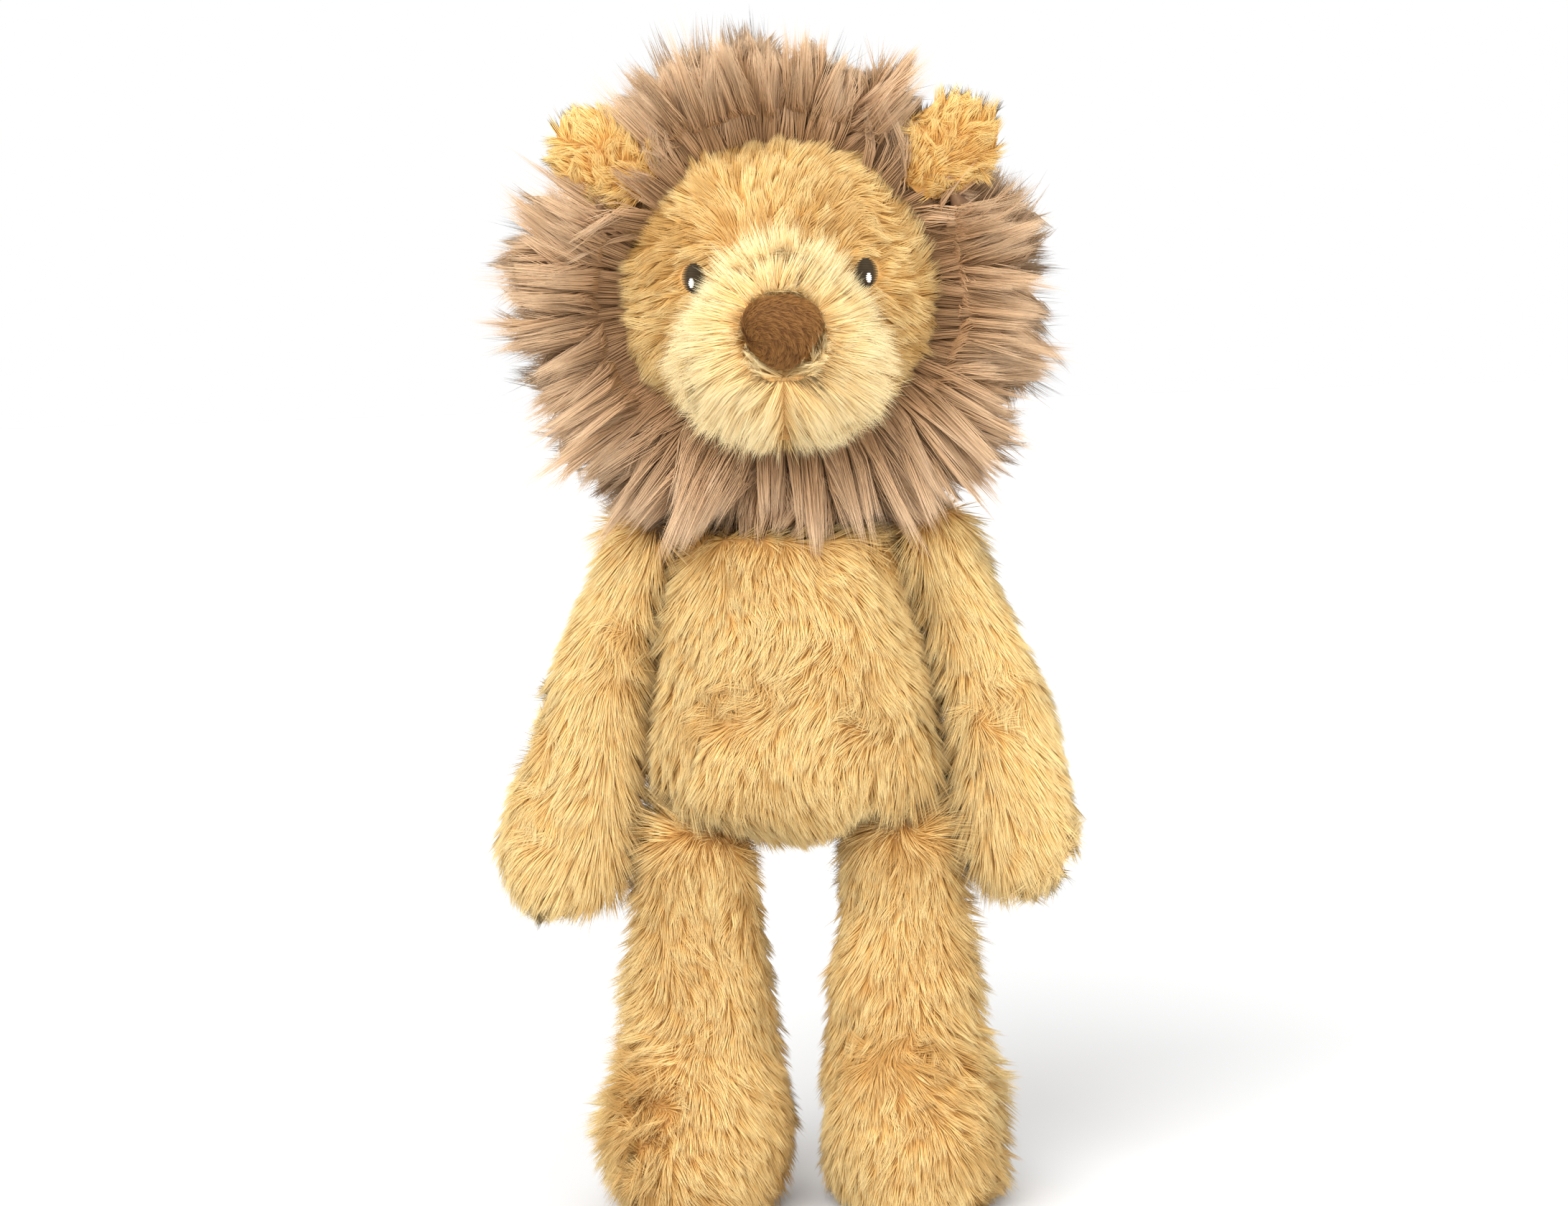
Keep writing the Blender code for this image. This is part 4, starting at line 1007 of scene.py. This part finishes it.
for word in ("left", "right"):
    eye = stitched_oval(f"eye_{word}_stitches", f"eye_{word}", thread_finish.material, 0.0)
    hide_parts(f"eye_{word}")
    glint = stitched_oval(
        f"eye_{word}_glint", f"eye_{word}_highlight", white_finish.material, 0.0009,
    )
    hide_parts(f"eye_{word}_highlight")

# %% [markdown]
# ## Ears
# Small round ears stand out through the mane. Their pile is curly and of a deeper gold,
# and a painted shadow darkens it towards the middle of each ear, for the hollow of the front.

# %% Make the ears
HOLLOW_SHADE_SPREAD = 0.007

for word in ("left", "right"):
    nodes = [f"ear_{word}_front", f"ear_{word}_back"]
    ear = stuffed_body(f"ear_{word}_cloth", nodes, voxel=0.0014, draw_in=0.0026, lumps=0.0003, seed=91)
    wear(ear, "head", gold_backing)
    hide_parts(*nodes)
    chance = np.random.default_rng(92)
    roots, normals = scatter(ear, COAT_PER_MM2 * 1.8, chance)
    comb = swirl(roots, away_from(roots, head_middle), 0.9, 0.016, 93)
    ear_low, ear_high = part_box(f"ear_{word}_front")
    # painted shadow: the pile darkens towards the middle of the ear, front and back, for the hollow of
    # its front
    from_shaded_hollow = np.linalg.norm((roots - np.array((ear_low + ear_high) / 2))[:, (0, 2)], axis=1)
    coat = grow(
        f"ear_{word}_pile", roots, normals, comb, length=0.0066, lift=0.60, width=COAT_WIDTH * 0.9,
        tuft=0.0030, gather=0.42, seed=94, stray=0.4,
        tone_shift=-0.45 * np.exp(-((from_shaded_hollow / HOLLOW_SHADE_SPREAD) ** 2)),
    )
    wear(coat, "head", ear_pile)

# %% [markdown]
# ## Mane
# The mane is long straight pile on a hood round the face. Its hairs cling together in
# pointed locks, so the tufts are wide and gather towards their tips. They fan out from the
# middle of the face: out to the sides, up over the brow, and down over the chest. Beside
# the ears the pile is shorter, or it would bury them, and hair from the head's own edge
# covers the ears' roots. The coat is grown in pieces, to keep each one small.

# %% Mane hood
HOOD_VOXEL = 0.0030
HOOD_SHARE = 0.50
HOOD_EDGE = 0.054
HOOD_INNER = 0.050
HOOD_FRONT = -0.017
HOOD_STEP_BY_EAR = 0.012
HOOD_BLEND = 0.008
HOOD_SLOPE = 0.5
HOOD_MIDDLE_SHARE = 0.86
HOOD_BACK_SHARE = 0.84
HOOD_FRONT_SHARE = 0.75
EAR_SPREAD = math.radians(17)
ear_middles = [
    (sum(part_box(f"ear_{word}_front"), Vector()) / 2) for word in ("left", "right")
]


def near_ears(angles):
    """1 where an ear stands in the way, and 0 away from it."""
    closest = np.full(len(angles), math.tau)
    for place in ear_middles:
        way = math.atan2(place.z - head_middle.z, place.x - head_middle.x)
        turn = np.abs((angles - way + math.pi) % math.tau - math.pi)
        closest = np.minimum(closest, turn)
    return np.exp(-((closest / EAR_SPREAD) ** 4))


def hood_body():
    """The mane's backing: the frame's hood drawn towards the head by its pile's height."""
    mane_nodes = ["mane", "head_skin", "head_stuffing"]
    made = loose_copy(mane_nodes, "mane_cloth")
    apply_modifier(made, "REMESH", mode="VOXEL", voxel_size=HOOD_VOXEL)
    keep_largest(made)
    apply_modifier(made, "SMOOTH", factor=0.5, iterations=6)
    points, _ = mesh_points(made)
    from_middle = points - np.array(head_middle)
    distance = np.hypot(from_middle[:, 0], from_middle[:, 2])
    outer = np.clip((distance - HOOD_INNER) / HOOD_BLEND, 0, 1)
    edge = HOOD_EDGE + (distance - HOOD_EDGE) * HOOD_SHARE
    drawn = (1 - outer) * distance * HOOD_MIDDLE_SHARE + outer * edge
    from_middle[:, (0, 2)] *= (drawn / np.maximum(distance, 1e-6))[:, None]
    depth = from_middle[:, 1]
    beside_ear = near_ears(np.arctan2(from_middle[:, 2], from_middle[:, 0]))
    slope = HOOD_FRONT - HOOD_STEP_BY_EAR * beside_ear + np.clip(drawn - HOOD_INNER, 0, 1) * HOOD_SLOPE
    before = np.maximum(depth * HOOD_FRONT_SHARE, slope)
    from_middle[:, 1] = np.where(depth > 0, depth * HOOD_BACK_SHARE, before)
    points = from_middle + np.array(head_middle)
    made.data.vertices.foreach_set("co", points.astype(np.float32).ravel())
    apply_modifier(made, "SMOOTH", factor=0.5, iterations=4)
    made.data.shade_smooth()
    return made


hood = hood_body()
wear(hood, "head", mane_backing)
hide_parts("mane")

# %% How the mane fans out
MANE_WIDTH = 0.00036 * THICK
TOP_REACH = 0.404 - head_middle.z
SIDE_REACH = 0.102
LOCK_GROWTH = 1.32
OUTLINE_DEGREES = [-180, -135, -115, -90, -65, -45, 0, 30, 60, 90, 120, 150, 180]
OUTLINE_REACH = [
    0.082, 0.097, 0.086, 0.073, 0.087, 0.095, 0.082, 0.086, 0.078, 0.085, 0.084, 0.088, 0.082,
]
RAG_SHARE = 0.105
RAG_TURN = 0.26
EAR_DIP = 0.013
SHORTEST = 0.012
WISP_SHARE = 0.24
WISP_SIZE = 0.012


def round_the_face(points):
    """Direction out from the head's middle, its angle, and the distance from it."""
    radial = points - np.array(head_middle)
    radial[:, 1] = 0
    distance = np.linalg.norm(radial, axis=1)
    return unit(radial), np.arctan2(radial[:, 2], radial[:, 0]), distance


def mane_length(angles, distance, reach, seed):
    """How long each hair is, so that its tip lies on the mane's ragged outline."""
    outline = np.interp(np.degrees(angles), OUTLINE_DEGREES, OUTLINE_REACH)
    rag = slow_waves(np.stack([angles, angles * 0, distance * 0], axis=1), RAG_TURN, seed, 9)
    outline *= 1 + RAG_SHARE * rag
    outline -= near_ears(angles) * EAR_DIP
    return np.clip(outline - distance, SHORTEST, reach)


def rag_of_tufts(roots, seed):
    """Locks differ in length, so that some stand out as wisps."""
    return 1 + WISP_SHARE * slow_waves(roots, WISP_SIZE, seed, 9)


# %% Grow the mane
LOCKS = {"tuft": 0.0044, "gather": 0.40, "stray": 0.13, "lock": 0.0150}
SHORT_HAIR_SHARE = 0.80
HAIR_LENGTH_SPREAD = 0.34
LOWEST_CLIMB = 0.55
OVER_EAR_LENGTH = 0.026
OVER_EAR_DEPTH = 0.006
OVER_EAR_TURN = 0.60
FAN_WAVE = 0.16
FAN_WAVE_SIZE = 0.045
UPRIGHT_LIFT = 0.86


def mane_locks(name, keep, seed, per_mm2, reach, backward, rise, base=hood):
    """Long hair on the part of the hood, or of the head, that `keep` picks."""
    chance = np.random.default_rng(seed)
    roots, normals = scatter(base, per_mm2 * THIN, chance)
    kept = keep(roots)
    roots, normals = roots[kept], normals[kept]
    radial, angles, distance = round_the_face(roots)
    length = mane_length(angles, distance, reach, 17)
    length *= SHORT_HAIR_SHARE + HAIR_LENGTH_SPREAD * chance.random(len(roots))
    length *= rag_of_tufts(roots, seed + 7)
    climb = np.maximum(np.sin(angles), LOWEST_CLIMB)
    room = np.minimum(TOP_REACH / climb, SIDE_REACH) - distance
    length = np.clip(length, 0.008, room / LOCK_GROWTH)
    over_ear = near_ears(angles) * (roots[:, 1] < ear_middles[0].y + OVER_EAR_DEPTH)
    length = length * (1 - over_ear) + OVER_EAR_LENGTH * over_ear
    outward = np.clip((normals * radial).sum(axis=1), 0, 1)
    fan = radial.copy()
    fan[:, 1] += backward - OVER_EAR_TURN * over_ear
    comb = fan + wave_vectors(roots, FAN_WAVE_SIZE, seed + 3) * FAN_WAVE
    comb -= normals * (comb * normals).sum(axis=1, keepdims=True) * 0.4
    locks = grow(
        name, roots, normals, comb, length=length, lift=rise + (UPRIGHT_LIFT - rise) * outward ** 1.5,
        width=MANE_WIDTH, seed=seed + 4, steps=2, droop=0.06, **LOCKS,
    )
    wear(locks, "head", mane_pile)


FRONT_START = head_middle.y - 0.034
FRONT_END = head_middle.y + 0.004
SIDE_END = head_middle.y + 0.026
FACE_EDGE = 0.047
EAR_ROOT = 0.058
HEAD_EDGE = 0.0462


def front_of_hood(points):
    _, angles, distance = round_the_face(points)
    depth = points[:, 1]
    beside = (distance > FACE_EDGE) & ((near_ears(angles) < 0.3) | (distance < EAR_ROOT))
    return beside & (depth > FRONT_START) & (depth < FRONT_END)


def side_of_hood(points):
    return (points[:, 1] >= FRONT_END) & (points[:, 1] < SIDE_END)


for word, side in (("left", 1), ("right", -1)):
    def this_half(points):
        return (points[:, 0] - head_middle.x) * side > 0

    mane_locks(
        f"mane_{word}_front", lambda p: front_of_hood(p) & this_half(p),
        seed=110 + side, per_mm2=3.30, reach=0.044, backward=0.0, rise=0.44,
    )
    mane_locks(
        f"mane_{word}_side", lambda p: side_of_hood(p) & this_half(p),
        seed=120 + side, per_mm2=2.10, reach=0.038, backward=0.10, rise=0.34,
    )


def beside_ears(points):
    """The head's edge under each ear, whose hair falls over the ear's root."""
    _, angles, distance = round_the_face(points)
    return (near_ears(angles) > 0.5) & (distance > HEAD_EDGE) & (points[:, 1] < head_middle.y)


mane_locks(
    "mane_by_ears", beside_ears, seed=140, per_mm2=3.6, reach=0.024, backward=0.0, rise=0.42, base=face,
)
mane_locks(
    "mane_back", lambda p: p[:, 1] >= SIDE_END,
    seed=130, per_mm2=1.10, reach=0.034, backward=0.35, rise=0.34,
)

# %% [markdown]
# ## Neck and tail
# The neck is hidden by the mane and wears the same pile, cut short. The tail is a thin
# stuffed tube with a tuft of mane pile at its end.

# %% Make the neck
neck_nodes = ["neck_skin", "neck_stuffing"]
neck = stuffed_body("neck_cloth", neck_nodes, voxel=0.0024, draw_in=0.0016, lumps=0.0, seed=141)
wear(neck, "neck", mane_backing)
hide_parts(*neck_nodes)


def brown_coat(base, name, body, seed, per_mm2, comb_way, **shape):
    """Mane pile cut short."""
    chance = np.random.default_rng(seed)
    roots, normals = scatter(base, per_mm2 * THIN, chance)
    comb = swirl(roots, np.array(comb_way), 0.2, 0.03, seed + 1)
    coat = grow(name, roots, normals, comb, width=MANE_WIDTH, seed=seed + 2, **shape)
    wear(coat, body, mane_pile)


brown_coat(
    neck, "neck_pile", "neck", 142, 1.2, (0.0, -0.1, -1.0),
    length=0.011, lift=0.35, tuft=0.005, gather=0.5,
)

# %% Make the tail
tail_nodes = ["tail_skin", "tail_stuffing"]
tail = stuffed_body("tail_cloth", tail_nodes, voxel=0.0014, draw_in=0.0030, lumps=0.0, seed=151, smooth=4)
wear(tail, "tail", gold_backing)
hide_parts(*tail_nodes)
body_coat(tail, "tail_pile", "tail", 152, 0.2, length=0.0070)
tuft_nodes = ["tail_tuft", "tail_skin"]
tuft_body = stuffed_body(
    "tail_tuft_cloth", tuft_nodes, voxel=0.0014, draw_in=0.0060, lumps=0.0, seed=161, smooth=4,
)
wear(tuft_body, "tail", mane_backing)
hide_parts("tail_tuft")
brown_coat(
    tuft_body, "tail_tuft_locks", "tail", 162, 2.4, (0.0, 0.87, -0.5),
    length=0.016, lift=0.30, tuft=0.006, gather=0.6, steps=2,
)
